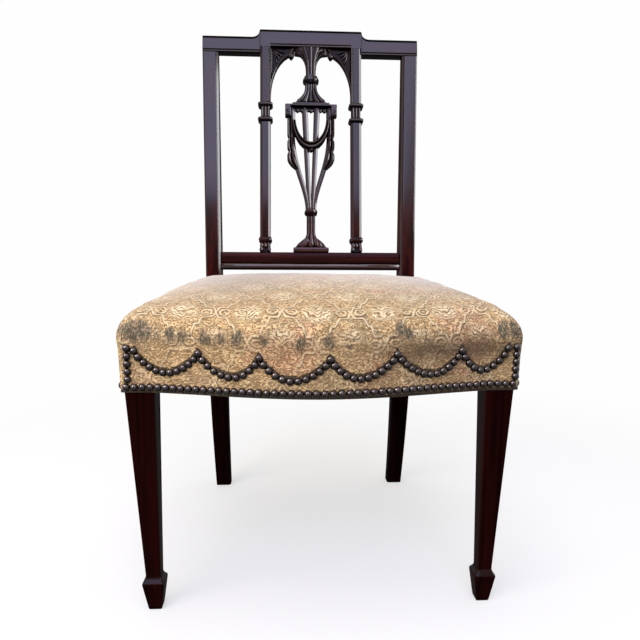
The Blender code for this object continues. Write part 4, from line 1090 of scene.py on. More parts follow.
def column(side, sign):
    bm = bmesh.new()
    middle = sign * COLUMN_X

    def ring(up, spread, chamfer=COLUMN_CHAMFER):
        section = chamfered(COLUMN_HALF + spread, COLUMN_FACE - spread, COLUMN_BACK, chamfer, middle)
        return standing(section, up)

    profile = [(BASE_BLOCK_TOP - 0.002, -0.0008)]
    profile += swelling(BASE_BLOCK_TOP, BASE_RING_TOP, BASE_RING_SWELL)
    profile += straight((BASE_RING_TOP, 0.0), (CAPITAL_LOW, 0.0), 8)[1:-1]
    profile += swelling(CAPITAL_LOW, NECK_LOW, RING_SWELL)
    neck = len(profile)
    profile += [(NECK_LOW + 0.0004, -0.0016), (NECK_TOP - 0.0004, -0.0016)]
    profile += swelling(NECK_TOP, CAPITAL_TOP, RING_SWELL)
    profile += [(lerp(CAPITAL_TOP, TABLET_BOTTOM, 0.5), 0.0), (TABLET_BOTTOM - GAP, 0.0)]
    rings = [ring(up, swell) for up, swell in profile]
    # painted shade on the neck between its reeds, and a little over the rest
    add_loft(bm, rings, painted_shade=lambda i, k: 0.9 if i in (neck, neck + 1) else 0.2)
    # reeds round the neck
    for k in (-1, 0, 1):
        path = upright(middle + k * COLUMN_HALF * 0.58, COLUMN_FACE + 0.0018, NECK_LOW, NECK_TOP, 6)
        add_reed(bm, path, COLUMN_HALF * 0.24, 0.003)
    # a bead down the inner edge, from the tablet to the capital
    x = sign * (COLUMN_INNER + 0.0017)
    path = upright(x, COLUMN_FACE + 0.001, CAPITAL_TOP, TABLET_BOTTOM - GAP, 6)
    add_reed(bm, path, 0.0017, 0.0022, shading=0.5)
    # the foot: a block with two tiers of upright leaves
    block = []
    for share in (0.0, 0.15, 0.6, 1.0):
        up = lerp(LOW_RAIL_TOP + GAP, BASE_BLOCK_TOP, share)
        block.append(ring(up, BASE_SWELL * (1.0 - share) ** 2 - 0.0016, 0.002))
    # painted shade on the block behind the leaves
    add_loft(bm, block, painted_shade=0.9)
    for tier_low, tier_top, leaves, lean in ((0.42, 1.04, 3, 0.0), (0.0, 0.58, 2, 0.0016)):
        for k in range(leaves):
            share_x = (k - (leaves - 1) / 2) / (leaves - 1)
            path = []
            for share in shares(8):
                up = lerp(LOW_RAIL_TOP, BASE_BLOCK_TOP, lerp(tier_low, tier_top, share))
                spread = lean + 0.0022 * (1.0 - share) ** 2
                x = middle + share_x * (COLUMN_HALF * 1.25 + spread)
                path.append((x, COLUMN_FACE - lean + 0.0012 - spread * 0.5, max(up, LOW_RAIL_TOP + GAP)))
            add_reed(bm, path, leaf_widths(9, COLUMN_HALF * 0.36, 0.45, 0.35), CARVED)

    def shine(at):
        return 0.75 if at.z < BASE_BLOCK_TOP + 0.001 else 0.0

    make_wooden(f"ringed_column_{side}", bm, f"splat_column_{side}", shine=shine)


# Spandrels: fan-carved corners behind a moulded arch, each with a carved drop
SPANDREL_FIELD = 0.0042
ARCH_BAND = 0.0024
# (angle in degrees, reach, half-width) of each leaf that fans out of the corner
FAN_LEAVES = ((-17, 0.026, 0.0019), (-36, 0.0235, 0.0024), (-55, 0.025, 0.0024), (-71, 0.032, 0.0021))


def spandrel(side, sign):
    bm = bmesh.new()
    field = SPANDREL_FIELD
    outer_x = COLUMN_INNER - GAP
    inner_x = HEAD_HALF + GAP
    top = TABLET_BOTTOM - GAP
    wide = outer_x - ARCH_CROWN_X
    high = ARCH_CROWN - ARCH_SPRING
    start = math.acos((inner_x - ARCH_CROWN_X) / wide)

    def arch_point(turn):
        return ARCH_CROWN_X + wide * math.cos(turn), ARCH_SPRING + high * math.sin(turn)

    arch = [arch_point(start * (1.0 - share)) for share in shares(28)[:-1]]
    outline = [(outer_x, top), (inner_x, top), *arch, (outer_x, ARCH_SPRING)]
    rings = [[(sign * x, depth, up) for x, up in outline] for depth in (SPANDREL_BACK, field)]
    # painted shade on the field behind the carving
    add_loft(bm, rings, painted_shade=0.8)
    # the moulding that follows the arch and runs on up to the tablet
    path = []
    for share in shares(26)[1:]:
        turn = start * 0.9 * share
        x, up = arch_point(turn)
        out = Vector((math.cos(turn) / wide, math.sin(turn) / high)).normalized()
        path.append((sign * (x + out.x * ARCH_BAND), field, up + out.y * ARCH_BAND))
    x, _, up = path[-1]
    for share in (0.4, 0.75, 1.0):
        path.append((lerp(x, sign * (inner_x + 0.0012), share), field, lerp(up, top - 0.0012, share**0.8)))
    add_reed(bm, path, ARCH_BAND, 0.0048)
    # leaves fanning out of the corner, inside a narrow border
    edge = 0.0014
    for from_edge, to_edge in (
        ((outer_x, top - edge), (outer_x - 0.03, top - edge)),
        ((outer_x - edge, top), (outer_x - edge, top - 0.052)),
    ):
        path = [(sign * x, field, up) for x, up in straight(from_edge, to_edge, 6)]
        add_reed(bm, path, 0.0011, 0.0026, 6)
    corner_x = outer_x - 0.003
    corner_up = top - 0.003
    for angle, reach, leaf in FAN_LEAVES:
        turn = math.radians(angle)
        path = []
        for share in shares(8):
            far = lerp(0.002, reach, share)
            path.append((sign * (corner_x - far * math.cos(turn)), field, corner_up + far * math.sin(turn)))
        add_reed(bm, path, leaf_widths(9, leaf, 0.25, 0.62), CARVED)
    # the drop: a round bud on a short neck, hung from the crossing of the mouldings
    turns = [math.pi * share for share in shares(14)]
    path = [(sign * DROP_X, field - 0.0018, DROP_UP + DROP_RADIUS * math.cos(turn)) for turn in turns]
    widths = [DROP_RADIUS * max(math.sin(turn), 0.12) for turn in turns]
    add_reed(bm, path, widths, DROP_RADIUS, 12, 0.5)
    neck_top = (sign * DROP_X, field - 0.001, top - 0.001)
    path = straight(neck_top, (sign * (DROP_X - 0.001), field - 0.001, DROP_UP), 6)
    add_reed(bm, path, [lerp(0.0016, 0.0034, share) for share in shares(6)], 0.0044)
    make_wooden(f"fan_spandrel_{side}", bm, f"spandrel_{side}")


# Urn splat


def up_urn(up):
    return (up - URN_BOTTOM) / (RIM_BOTTOM - URN_BOTTOM)


def outer_bar(up):
    """Middle of an outer bar, the outline of the urn's body."""
    full = math.sin(clamp(up_urn(up) / BELLY) * math.pi / 2) ** BELLY_POWER
    return lerp(OUTER_BAR["low"], OUTER_BAR["top"], full)


def inner_bar(up):
    return lerp(INNER_BAR["low"], INNER_BAR["top"], max(up_urn(up), 0.0) ** INNER_BAR_POWER)


def head_half(up):
    """Half-width of the splat's flared head."""
    if up >= HEAD_LOW:
        return HEAD_HALF
    if up <= STEM_TOP:
        return STEM_HALF
    turn = math.acos(clamp((up - STEM_TOP) / (HEAD_LOW - STEM_TOP)))
    return ARCH_CROWN_X - (ARCH_CROWN_X - STEM_HALF) * math.sin(turn)


def lid_half(up):
    share = clamp((LID_TOP - up) / (LID_TOP - LID_LOW))
    return lerp(LID_TOP_HALF, LID_HALF, share**LID_POWER)


def foot_half(up):
    share = clamp((up - PLINTH_TOP) / (FOOT_TOP - PLINTH_TOP))
    return lerp(LOW_STEM_HALF, PLINTH_HALF, (1.0 - share) ** FOOT_POWER)


def flaring(half_at, high, low):
    """The (height, half-width) profile of a flaring form."""
    return [(up, half_at(up)) for up in (lerp(high, low, share) for share in shares(24))]


def add_turned(bm, profile, front, painted_shade=0.0, square=1.0):
    """A half-round form with a profile of (height, half-width)."""
    rings = [standing(half_round(half, front, SPLAT_BACK, square), up) for up, half in profile]
    add_loft(bm, rings, painted_shade=painted_shade)


def add_flare(bm, low, high, half_at, spread, width, square=1.0):
    """Reeds that follow a flaring form, one for each share of its half-width."""
    for share in spread:
        path = []
        widths = []
        for climb in shares(14):
            up = lerp(low, high, climb)
            half = half_at(up)
            path.append((share * half, face_depth(share * half, half, REED_BED, square), up))
            widths.append(max(half * width, 0.0012))
        widths[0] *= 0.5
        widths[-1] *= 0.5
        add_reed(bm, path, widths, CARVED)


def add_block(bm, x0, x1, front, rear, low, high, radius, painted_shade=0.0):
    """A block with rounded edges."""
    rings = []
    for share in shares(3):
        inset = radius * (1.0 - math.sin(math.pi / 2 * share))
        lift = radius * (1.0 - math.cos(math.pi / 2 * share))
        section = rounded_rectangle(x0 + inset, x1 - inset, front + inset, rear - inset, radius)
        rings.append(standing(section, low + lift))
    rings += [[(x, y, low + high - z) for x, y, z in points] for points in reversed(rings)]
    add_loft(bm, rings, painted_shade=painted_shade)


def add_head(bm):
    """Flared head, stem, collar and lid above the urn's rim."""
    head_bed = STEM_FACE + 0.0024
    head = [(TABLET_BOTTOM - GAP, HEAD_HALF), *flaring(head_half, HEAD_LOW, COLLAR_TOP)]
    # painted shade on the head's ground behind its reeds
    add_turned(bm, head, head_bed, 0.7)
    # three reeds that part a little as they climb
    for share in (-1.0, 0.0, 1.0):
        path = []
        for climb in shares(16):
            up = lerp(COLLAR_TOP, TABLET_BOTTOM - 0.001, climb)
            x = share * (0.0056 + 0.008 * climb**3)
            path.append((x, face_depth(x, head_half(up), head_bed) + 0.0004, up))
        add_reed(bm, path, [lerp(0.0026, 0.0034, climb**2) for climb in shares(16)], 0.0034)
    # long leaves that curl out under the tablet, and a rolled edge below them
    for sign in (-1, 1):
        for start, reach, leaf in ((STEM_TOP + 0.002, 0.0255, 0.003), (STEM_TOP - 0.006, 0.019, 0.0024)):
            path = []
            for climb in shares(12):
                up = lerp(start, TABLET_BOTTOM - 0.0045, math.sin(climb * math.pi / 2) ** 0.9)
                path.append((sign * lerp(0.0085, reach, climb**1.8), 0.0016, up))
            add_reed(bm, path, leaf_widths(13, leaf, 0.2, 0.7), 0.0052)
        path = []
        for share in shares(14):
            up = lerp(STEM_TOP, HEAD_LOW + 0.003, share)
            path.append((sign * (min(head_half(up), ARCH_CROWN_X) - 0.0012), 0.003, up))
        add_reed(bm, path, 0.0018, 0.004)
    collar = swelling(LID_TOP + 0.003, COLLAR_TOP - 0.0016, COLLAR_HALF, LID_TOP_HALF * 0.9, 16, 0.42)
    # painted shade under the collar's swell
    add_turned(bm, collar, STEM_FACE - 0.0024, lambda i, k: 0.9 if i <= 7 else 0.0)
    lip = swelling(COLLAR_TOP - 0.0018, COLLAR_TOP + 0.0012, LID_TOP_HALF * 1.12, STEM_HALF, 8, 0.5)
    add_turned(bm, lip, STEM_FACE - 0.0004)
    # painted shade on the lid's ground between its reeds
    add_turned(bm, flaring(lid_half, LID_TOP + 0.006, LID_LOW), REED_BED, 0.95, LID_SQUARE)
    spread = (-0.78, -0.4, 0.0, 0.4, 0.78)
    add_flare(bm, LID_LOW + 0.0004, LID_TOP + 0.005, lid_half, spread, 0.15, LID_SQUARE)
    plate = LID_HALF + 0.0012
    add_block(bm, -plate, plate, STEM_FACE - 0.0012, SPLAT_BACK, RIM_TOP - 0.001, LID_LOW + 0.0002, 0.0012)


def add_rim(bm):
    """The rim's bead, hollow and scalloped fringe, with square ears."""
    add_block(bm, -RIM_HALF, RIM_HALF, STEM_FACE - 0.0022, SPLAT_BACK, RIM_TOP - 0.004, RIM_TOP, 0.0013)
    hollow = RIM_HALF - 0.002
    # painted shade in the hollow, and full painted shade at the edges of the scallops and curls
    add_block(bm, -hollow, hollow, 0.003, SPLAT_BACK, RIM_BOTTOM - 0.001, RIM_TOP - 0.003, 0.0008, 1.0)
    fringe_top = RIM_TOP - 0.0078
    inside = RIM_HALF - EAR_WIDE
    add_block(bm, -inside, inside, -0.0012, SPLAT_BACK - 0.001, fringe_top - 0.0022, fringe_top, 0.001)
    pitch = 2 * inside / SCALLOPS
    for k in range(SCALLOPS):
        path = upright(-inside + pitch * (k + 0.5), 0.0022, fringe_top - 0.001, fringe_top - 0.0078, 8)
        add_reed(bm, path, blunt_widths(8, pitch * 0.49, 3, 0.03), 0.003, shading=1.0)
    for sign in (-1, 1):
        ends = sorted((sign * inside, sign * (RIM_HALF + 0.0005)))
        add_block(bm, *ends, STEM_FACE - 0.003, SPLAT_BACK - 0.0005, EAR_BOTTOM, RIM_TOP - 0.0004, 0.0014)
        # a curl cut into the ear, and the buttons under it
        path = []
        for share in shares(12):
            turn = math.radians(lerp(200, 530, share))
            radius = lerp(0.0034, 0.0012, share)
            x = sign * (RIM_HALF - EAR_WIDE / 2 + radius * math.cos(turn))
            path.append((x, STEM_FACE - 0.0028, RIM_TOP - 0.014 + radius * math.sin(turn)))
        add_reed(bm, path, leaf_widths(13, 0.0013, 0.5, 0.5), 0.0015, 6, 1.0)
        for x in (inside + 0.0014, RIM_HALF - 0.0012):
            path = upright(sign * x, STEM_FACE + 0.001, EAR_BOTTOM + 0.0012, EAR_BOTTOM - 0.0024, 6)
            add_reed(bm, path, blunt_widths(6, 0.0018, 4, 0.05), 0.0032, 8)


def add_bars(bm):
    """Four bars that draw together towards the urn's foot."""
    for sign in (-1, 1):
        for middle_of, bar in ((outer_bar, OUTER_BAR), (inner_bar, INNER_BAR)):
            rings = []
            for share in shares(40):
                up = lerp(LOW_COLLAR_LOW + 0.006, RIM_BOTTOM + 0.004, share)
                half = lerp(BAR_LOW_WIDE, bar["wide"], share) / 2
                chamfer = min(BAR_CHAMFER, half * 0.62)
                section = chamfered(half, SPLAT_FACE, bar["back"], chamfer, sign * middle_of(up))
                rings.append(standing(section, up))
            add_loft(bm, rings)


def add_tails(bm):
    """A chain of husks that hangs outside the urn from each ear."""
    joints = (0.0, *TAIL_NOTCHES, TAIL_LONG)
    for sign in (-1, 1):
        rings = []
        shading = []
        for along in shares(60):
            drop = TAIL_LONG * along
            up = EAR_BOTTOM + QUIRK - drop
            outer = TAIL_OUTER_X - TAIL_NOTCH * sum(gauss(drop, at, 0.004) for at in TAIL_NOTCHES)
            inner = outer_bar(up) - 0.002
            turn = max((drop - TAIL_LONG + TAIL_TURN) / TAIL_TURN, 0.0) ** 1.6
            outer = lerp(outer, inner + OUTER_BAR["wide"] / 2, turn)
            link = max(k for k in range(3) if drop >= joints[k] - 1e-9)
            share = (drop - joints[link]) / (joints[link + 1] - joints[link])
            swell = 0.35 + 0.65 * math.sin(math.pi * clamp(share * 0.86 + 0.1)) ** 0.7
            face = []
            folds = []
            for across in shares(16):
                fold = abs(math.sin(math.pi * (across * 1.9 + 0.05))) ** 0.7
                high = swell * fold * smooth(0.0, 0.16, min(across, 1.0 - across) * 2) ** 0.6
                face.append((sign * lerp(inner, outer, across), SPLAT_FACE + 0.0016 - TAIL_FOLD * high, up))
                folds.append(clamp(1.1 - 2.2 * high))
            rings.append(face + [(sign * outer, TAIL_BACK, up), (sign * inner, TAIL_BACK, up)])
            shading.append(folds + [1.0, 1.0])
        # painted shade in the folds between the husks' ridges, and on the back
        add_loft(bm, rings, painted_shade=lambda i, k: shading[i][k])


def add_swag(bm):
    """The crescent of two rolls slung between the ears, with a bud at its lowest point."""
    rings = []
    shading = []
    for along in shares(56):
        turn = lerp(-SWAG_SPAN, SWAG_SPAN, along)

        def swag_point(across, depth):
            wide, deep = (lerp(inner, outer, across) for inner, outer in zip(SWAG_INNER, SWAG_OUTER))
            return wide * math.sin(turn), depth, SWAG_TOP - deep * math.cos(turn)

        thin = lerp(0.55, 1.0, math.cos(turn) ** 0.6)
        points = []
        folds = []
        for across in shares(22):
            if across < SWAG_CREASE:
                roll = max(math.sin(math.pi * across / SWAG_CREASE), 0.0) ** 0.6 * 0.72
            else:
                share = (across - SWAG_CREASE) / (1.0 - SWAG_CREASE)
                roll = max(math.sin(math.pi * share), 0.0) ** 0.6
            points.append(swag_point(across, SPLAT_FACE - 0.0008 - SWAG_ROLL * roll * thin))
            folds.append(clamp(1.05 - 1.5 * roll))
        rings.append(points + [swag_point(1.0, SWAG_BACK), swag_point(0.0, SWAG_BACK)])
        shading.append(folds + [1.0, 1.0])
    # painted shade in the creases between and beside the rolls, and on the back
    add_loft(bm, rings, painted_shade=lambda i, k: shading[i][k])
    low = SWAG_TOP - SWAG_OUTER[1]
    path = upright(0.0, SPLAT_FACE + 0.001, low + 0.003, low - 0.0046, 8)
    add_reed(bm, path, blunt_widths(8, 0.0048, 3, 0.05), 0.0052, shading=1.0)


def add_foot(bm):
    """Lower collar, reeded stem and leaf-carved plinth."""
    low = LOW_COLLAR_LOW
    collar = swelling(low + 0.0022, URN_BOTTOM - 0.0034, LOW_COLLAR_HALF, LOW_STEM_HALF, 16, 0.42)
    # painted shade under the collar's swell, a little over its upper half
    add_turned(bm, collar, STEM_FACE - 0.0024, lambda i, k: 0.9 if i <= 8 else 0.2)
    stem = [(low + 0.004, LOW_STEM_HALF), *flaring(foot_half, FOOT_TOP, PLINTH_TOP - 0.0004)]
    # painted shade on the stem's ground between its reeds
    add_turned(bm, stem, REED_BED, 0.95)
    add_flare(bm, PLINTH_TOP + 0.002, low + 0.003, foot_half, (-0.62, 0.0, 0.62), 0.24)
    # broad leaves that spread over the plinth
    for share in (-0.88, -0.44, 0.44, 0.88):
        path = []
        for climb in shares(10):
            up = lerp(PLINTH_TOP + 0.0004, PLINTH_TOP + 0.019, climb)
            x = share * foot_half(up)
            path.append((x, face_depth(x, foot_half(up), REED_BED), up))
        add_reed(bm, path, leaf_widths(11, 0.004, 0.2, 0.35), 0.003)
    bottom = LOW_RAIL_TOP + GAP
    front = STEM_FACE - 0.0012
    add_block(bm, -PLINTH_HALF, PLINTH_HALF, front, SPLAT_BACK, bottom, PLINTH_TOP + 0.0006, 0.0013)


def urn_splat():
    bm = bmesh.new()
    for add in (add_head, add_rim, add_bars, add_tails, add_swag, add_foot):
        add(bm)

    def shine(at):
        return 0.6 if at.z < FOOT_TOP + 0.02 else 0.0

    make_wooden("carved_urn_splat", bm, "urn_splat", shine=shine)


# Seat
COVER_BOTTOM = RAIL_BOTTOM
VOXEL = 0.0048
SHRINK = 0.001
FRONT_STEPS = 36
CLOTH_CREASE = math.radians(60)
# forms that cut the seat run from under it to over it
UNDER_SEAT_Z = 0.25
OVER_SEAT_Z = 0.55
# the cloth is nailed fast below the first height and free above the second
NAILED_Z = 0.325
FREE_Z = 0.375
# old padding has spread the seat's left and right sides
WIDER_LEFT = 1.012
WIDER_RIGHT = 1.016
# the cloth swells under this pressure, no further than the cap
PRESSURE = 4.0
SWELL_FRAMES = 20
SWELL_CAP = 0.0045


def seat_outline(offset, rounder=0.0):
    """The seat frame's plan, grown by an offset, from the front middle round."""
    corner_x = LEG_OUTER_X - EASE - rounder
    corner_y = EASE + rounder
    radius = corner_y + offset
    half = []
    for i in range(FRONT_STEPS):
        x = corner_x * i / FRONT_STEPS
        half.append((x, -bow(x) - offset))
    if radius > 0.0:
        for share in shares(8):
            angle = math.pi / 2 * (share - 1.0)
            half.append((corner_x + radius * math.cos(angle), corner_y + radius * math.sin(angle)))
    else:
        half.append((LEG_OUTER_X + offset, -offset))
    half.append((LEG_OUTER_X + offset, LEG_SQUARE))
    rear = SEAT_REAR + offset
    for share in shares(24)[1:]:
        y = lerp(LEG_SQUARE, rear, share)
        half.append((side_x(y) + offset / SIDE_SLANT, y))
    rear_x = half[-1][0]
    half += [(rear_x * (1.0 - share), rear) for share in shares(16)[1:]]
    return half + [(-x, y) for x, y in reversed(half[1:-1])]


def roll_z(y):
    """Height of the rolled edge's middle, which climbs from front to rear."""
    return lerp(ROLL_FRONT_Z, ROLL_REAR_Z, math.sin(clamp(y / SEAT_DEPTH) * math.pi / 2))


def oval(x, y):
    """The point of an oval about the crown that lies the same way as (x, y)."""
    wide = side_x(CROWN_Y)
    deep = CROWN_Y + FRONT_BOW if y < CROWN_Y else SEAT_REAR - CROWN_Y
    turn = math.atan2((y - CROWN_Y) / deep, x / wide)
    return wide * math.cos(turn), CROWN_Y + deep * math.sin(turn)


def seat_rings(inside, bottom):
    """Rings of the stuffed form, some way inside the cloth's outer face."""
    lower_edge = GAP + CLOTH
    rings = [standing(seat_outline(lower_edge - inside), bottom)]
    radius = ROLL_RADIUS - inside
    for step in range(ROLL_STEPS + 1):
        turn = lerp(ROLL_UNDER, ROLL_OVER, step / ROLL_STEPS)
        reach = lower_edge + OVERHANG - ROLL_RADIUS + radius * math.cos(turn)
        rounder = CORNER_ROUND * (step + 1) / (ROLL_STEPS + 1)
        points = []
        for x, y in seat_outline(max(reach, 0.0), rounder):
            share = max(-reach, 0.0) / math.hypot(x, CROWN_Y - y)
            z = max(roll_z(y) + radius * math.sin(turn), bottom + 0.001 * (step + 1))
            points.append((lerp(x, 0.0, share), lerp(y, CROWN_Y, share), z))
        rings.append(points)
    edge = rings[-1]
    for share in shares(DOME_STEPS)[1:-1]:
        lift = 1.0 - (1.0 - share) ** DOME_POWER
        rounded = share**DOME_ROUND
        points = []
        for x, y, z in edge:
            oval_x, oval_y = oval(x, y)
            x = lerp(lerp(x, oval_x, rounded), 0.0, share)
            y = lerp(lerp(y, oval_y, rounded), CROWN_Y, share)
            points.append((x, y, lerp(z, CROWN_Z - inside, lift)))
        rings.append(points)
    return rings


def settle(thing):
    """Applies an object's modifiers to its mesh."""
    graph = bpy.context.evaluated_depsgraph_get()
    mesh = bpy.data.meshes.new_from_object(thing.evaluated_get(graph))
    old = thing.data
    thing.modifiers.clear()
    thing.data = mesh
    bpy.data.meshes.remove(old)


def cut_away(thing, cutter):
    modifier = thing.modifiers.new("cut", "BOOLEAN")
    modifier.operation = "DIFFERENCE"
    modifier.solver = "EXACT"
    modifier.object = cutter
    settle(thing)
    bpy.data.objects.remove(cutter, do_unlink=True)


def post_notches():
    """A block round both posts, to notch the seat."""
    bm = bmesh.new()
    front = SEAT_DEPTH - GAP
    outer = 0.3
    rear = 0.6
    heights = ((UNDER_SEAT_Z, "rail"), (RAIL_TOP, "rail"), (BACK_LINE_Z, "seat"), (OVER_SEAT_Z, "seat"))
    for _, sign in SIDES:
        rings = []
        for z, level in heights:
            inner = POST_INNER[level] - GAP
            rings.append(standing([(inner, front), (outer, front), (outer, rear), (inner, rear)], z))
        add_loft(bm, on_side(rings, sign))
    return bare_object("notches", bm)


def stuffed_form():
    """The closed form of the seat, a little smaller than the finished cloth."""
    bm = bmesh.new()
    loops = add_loft(bm, seat_rings(SHRINK, COVER_BOTTOM - 0.012), False)
    crown = bm.verts.new((0.0, CROWN_Y, CROWN_Z - SHRINK))
    top = loops[-1]
    for i in range(len(top)):
        bm.faces.new((top[i], top[(i + 1) % len(top)], crown))
    bm.faces.new(list(reversed(loops[0])))
    bmesh.ops.triangulate(bm, faces=bm.faces)
    for vert in bm.verts:
        vert.co.x *= WIDER_RIGHT if vert.co.x > 0.0 else WIDER_LEFT
    form = bare_object("seat_form", bm)
    cut_away(form, post_notches())
    remesh = form.modifiers.new("even_mesh", "REMESH")
    remesh.mode = "VOXEL"
    remesh.voxel_size = VOXEL
    settle(form)
    return form


def rows_of(mesh, what="co"):
    """The places of a mesh's points, or their normals, as rows of an array."""
    flat = np.empty(len(mesh.vertices) * 3, np.float64)
    mesh.vertices.foreach_get(what, flat)
    return flat.reshape(-1, 3)


def set_points(mesh, points):
    mesh.vertices.foreach_set("co", np.asarray(points, np.float64).ravel())
    mesh.update()


def plump(form):
    """Swells the cloth over its stuffing, held where it is nailed down."""
    start = rows_of(form.data)
    outward = rows_of(form.data, "normal")
    held = form.vertex_groups.new(name="nailed")
    for i, z in enumerate(start[:, 2]):
        weight = 1.0 - smooth(NAILED_Z, FREE_Z, z)
        if weight > 0.0:
            held.add([i], weight, "REPLACE")
    cloth = form.modifiers.new("cloth", "CLOTH")
    cloth.settings.quality = 5
    cloth.settings.mass = 0.3
    cloth.settings.tension_stiffness = 18.0
    cloth.settings.compression_stiffness = 18.0
    cloth.settings.bending_stiffness = 0.6
    cloth.settings.use_pressure = True
    cloth.settings.uniform_pressure_force = PRESSURE
    cloth.settings.vertex_group_mass = "nailed"
    cloth.settings.effector_weights.gravity = 0.0
    cloth.point_cache.frame_start = 1
    cloth.point_cache.frame_end = SWELL_FRAMES
    for step in range(1, SWELL_FRAMES + 1):
        bpy.context.scene.frame_set(step)
    settle(form)
    bpy.context.scene.frame_set(1)
    moved = rows_of(form.data) - start
    swell = np.clip((moved * outward).sum(1), 0.0, SWELL_CAP)
    set_points(form.data, start + outward * swell[:, None])


def seat_edges(x, y):
    """Distance in from the cloth's front, side and rear edges, at a plan point."""
    grown = GAP + CLOTH + OVERHANG
    front = y + bow(x) + grown
    side = (side_x(y) + grown / SIDE_SLANT - abs(x)) * SIDE_SLANT
    rear = SEAT_REAR + grown - y
    return front, side, rear


def keep_clear(mesh):
    """Keeps the lower cloth outside the rails."""
    points = rows_of(mesh)
    least = GAP + 0.0013
    for i, (x, y, z) in enumerate(points.copy()):
        if z > STUFFING_BOTTOM + 0.003:
            continue
        edges = seat_edges(x, y - PLAN_SHIFT)
        short = min(edges) - (CLOTH + OVERHANG + GAP - least)
        if 0.0 < short < 0.012:
            push = ((0.0, -1.0), (math.copysign(1.0, x), 0.0), (0.0, 1.0))[edges.index(min(edges))]
            points[i, 0] += push[0] * short
            points[i, 1] += push[1] * short
    set_points(mesh, points)


def turned_down(depth, y, z):
    """How far cloth has run down over the rolled edge, at a depth in from it."""
    middle = roll_z(y)
    if z <= middle:
        return ROLL_RADIUS * math.pi / 2 + (middle - z)
    if depth >= ROLL_RADIUS:
        return 0.0
    return ROLL_RADIUS * math.atan2(ROLL_RADIUS - depth, z - middle)


def lay_out(mesh):
    """UVs in metres, as the cloth was before it was drawn down over the edges. Its rows were
    eased round with the bow of the front."""
    layer = mesh.uv_layers.new(name="cut")
    corners = np.empty(len(mesh.loops), np.int64)
    mesh.loops.foreach_get("vertex_index", corners)
    points = rows_of(mesh)
    flat = np.empty((len(mesh.loops), 2))
    for polygon in mesh.polygons:
        edges = seat_edges(polygon.center.x, polygon.center.y - PLAN_SHIFT)
        which = edges.index(min(edges))
        for k in polygon.loop_indices:
            x, y, z = points[corners[k]]
            y -= PLAN_SHIFT
            depth = seat_edges(x, y)[which]
            run = turned_down(depth, y, z)
            out = max(ROLL_RADIUS - depth, 0.0) if run > 0.0 else 0.0
            eased = y + bow(x) * (1.0 - smooth(0.05, 0.3, y))
            if which == 0:
                flat[k] = (x, eased + out - run)
            elif which == 1:
                flat[k] = (math.copysign(abs(x) - out + run, x), eased)
            else:
                flat[k] = (x, eased - out + run)
    layer.data.foreach_set("uv", flat.ravel())


def gauss(value, middle, spread):
    return math.exp(-(((value - middle) / spread) ** 2))


# (x along the front, height up the roll, half-width, half-height) of each worn-through place
BARE_PLACES = (
    (-0.246, 0.392, 0.018, 0.016), (-0.2, 0.388, 0.005, 0.011), (-0.185, 0.386, 0.0045, 0.009),
    (-0.155, 0.386, 0.0055, 0.011), (-0.132, 0.384, 0.004, 0.008), (-0.111, 0.383, 0.006, 0.01),
    (-0.077, 0.384, 0.004, 0.008), (-0.03, 0.381, 0.0055, 0.009), (0.004, 0.383, 0.0065, 0.01),
    (0.03, 0.379, 0.003, 0.005), (0.097, 0.398, 0.006, 0.012), (0.108, 0.392, 0.004, 0.008),
    (0.245, 0.395, 0.0065, 0.014), (0.259, 0.392, 0.006, 0.012),
)


def mark_wear_and_light(mesh):
    """Where the cloth is worn bare and soiled, paled by a painted sheen, shaded over the festoon and
    darkened by painted shade, as values of its points.
    """
    line = np.array([point for part in festoon_line() for point in part])
    marks = {"bare": [], "rear_sheen": [], "soiled": [], "shaded": [], "dusk_shade": []}
    for x, y, z in rows_of(mesh):
        y -= PLAN_SHIFT
        front, side, rear = seat_edges(x, y)
        on_front = 1.0 - smooth(0.02, 0.045, front)
        worn = 0.0
        for at_x, at_z, wide, high in BARE_PLACES:
            worn = max(worn, gauss(x, at_x, wide * 1.25) * gauss(z, at_z, high * 0.95))
        marks["bare"].append((worn * 0.9 + gauss(z, 0.39, 0.013) * 0.25) * on_front)
        # painted sheen on the top, growing towards the rear and less near the side and rear edges
        marks["rear_sheen"].append(smooth(-0.02, 0.27, y) * smooth(0.02, 0.06, min(side, rear) + 0.03))
        marks["soiled"].append(on_front * (1.0 - smooth(0.372, 0.398, z)))
        # painted shade on the right of the front roll, and a darker patch on the left of the top
        on_roll = on_front * smooth(0.04, 0.15, x) * gauss(z, 0.367, 0.014) * 0.72
        on_top = (1.0 - on_front) * gauss(x, -0.11, 0.08) * gauss(y, 0.18, 0.14) * 0.3
        marks["dusk_shade"].append(on_roll + on_top)
        # a dark line just over the festoon
        above = 1.0
        if on_front > 0.5 and z < 0.385:
            above = np.hypot(line[:, 0] - x, line[:, 1] + 0.0052 - z).min()
        marks["shaded"].append(1.0 - smooth(0.0012, 0.0046, above))
    for name, values in marks.items():
        mark_points(mesh, name, values)


def lumps(mesh):
    """Small unevenness of old stuffing, above the nails."""
    normals = rows_of(mesh, "normal")
    points = rows_of(mesh)
    for i, (x, y, z) in enumerate(points.copy()):
        free = smooth(0.335, 0.4, z)
        broad = noise.noise(Vector((x * 11.0, y * 11.0, z * 11.0 + 3.0))) * 0.0026
        small = noise.noise(Vector((x * 34.0, y * 34.0, z * 34.0 + 9.0))) * 0.0007
        points[i] += normals[i] * (broad + small) * free
    set_points(mesh, points)


def frame_void():
    """The space inside the cloth that the rails and webbing take up."""
    bm = bmesh.new()
    plan = seat_outline(GAP)
    add_loft(bm, [standing(plan, z) for z in (UNDER_SEAT_Z, STUFFING_BOTTOM - GAP)])
    return bare_object("frame_void", bm)


def space_below():
    """The space below the rails, where the cloth ends level."""
    bm = bmesh.new()
    plan = [(-1.0, -1.0), (1.0, -1.0), (1.0, 1.0), (-1.0, 1.0)]
    add_loft(bm, [standing(plan, z) for z in (0.2, COVER_BOTTOM)])
    return bare_object("below_rails", bm, Matrix())


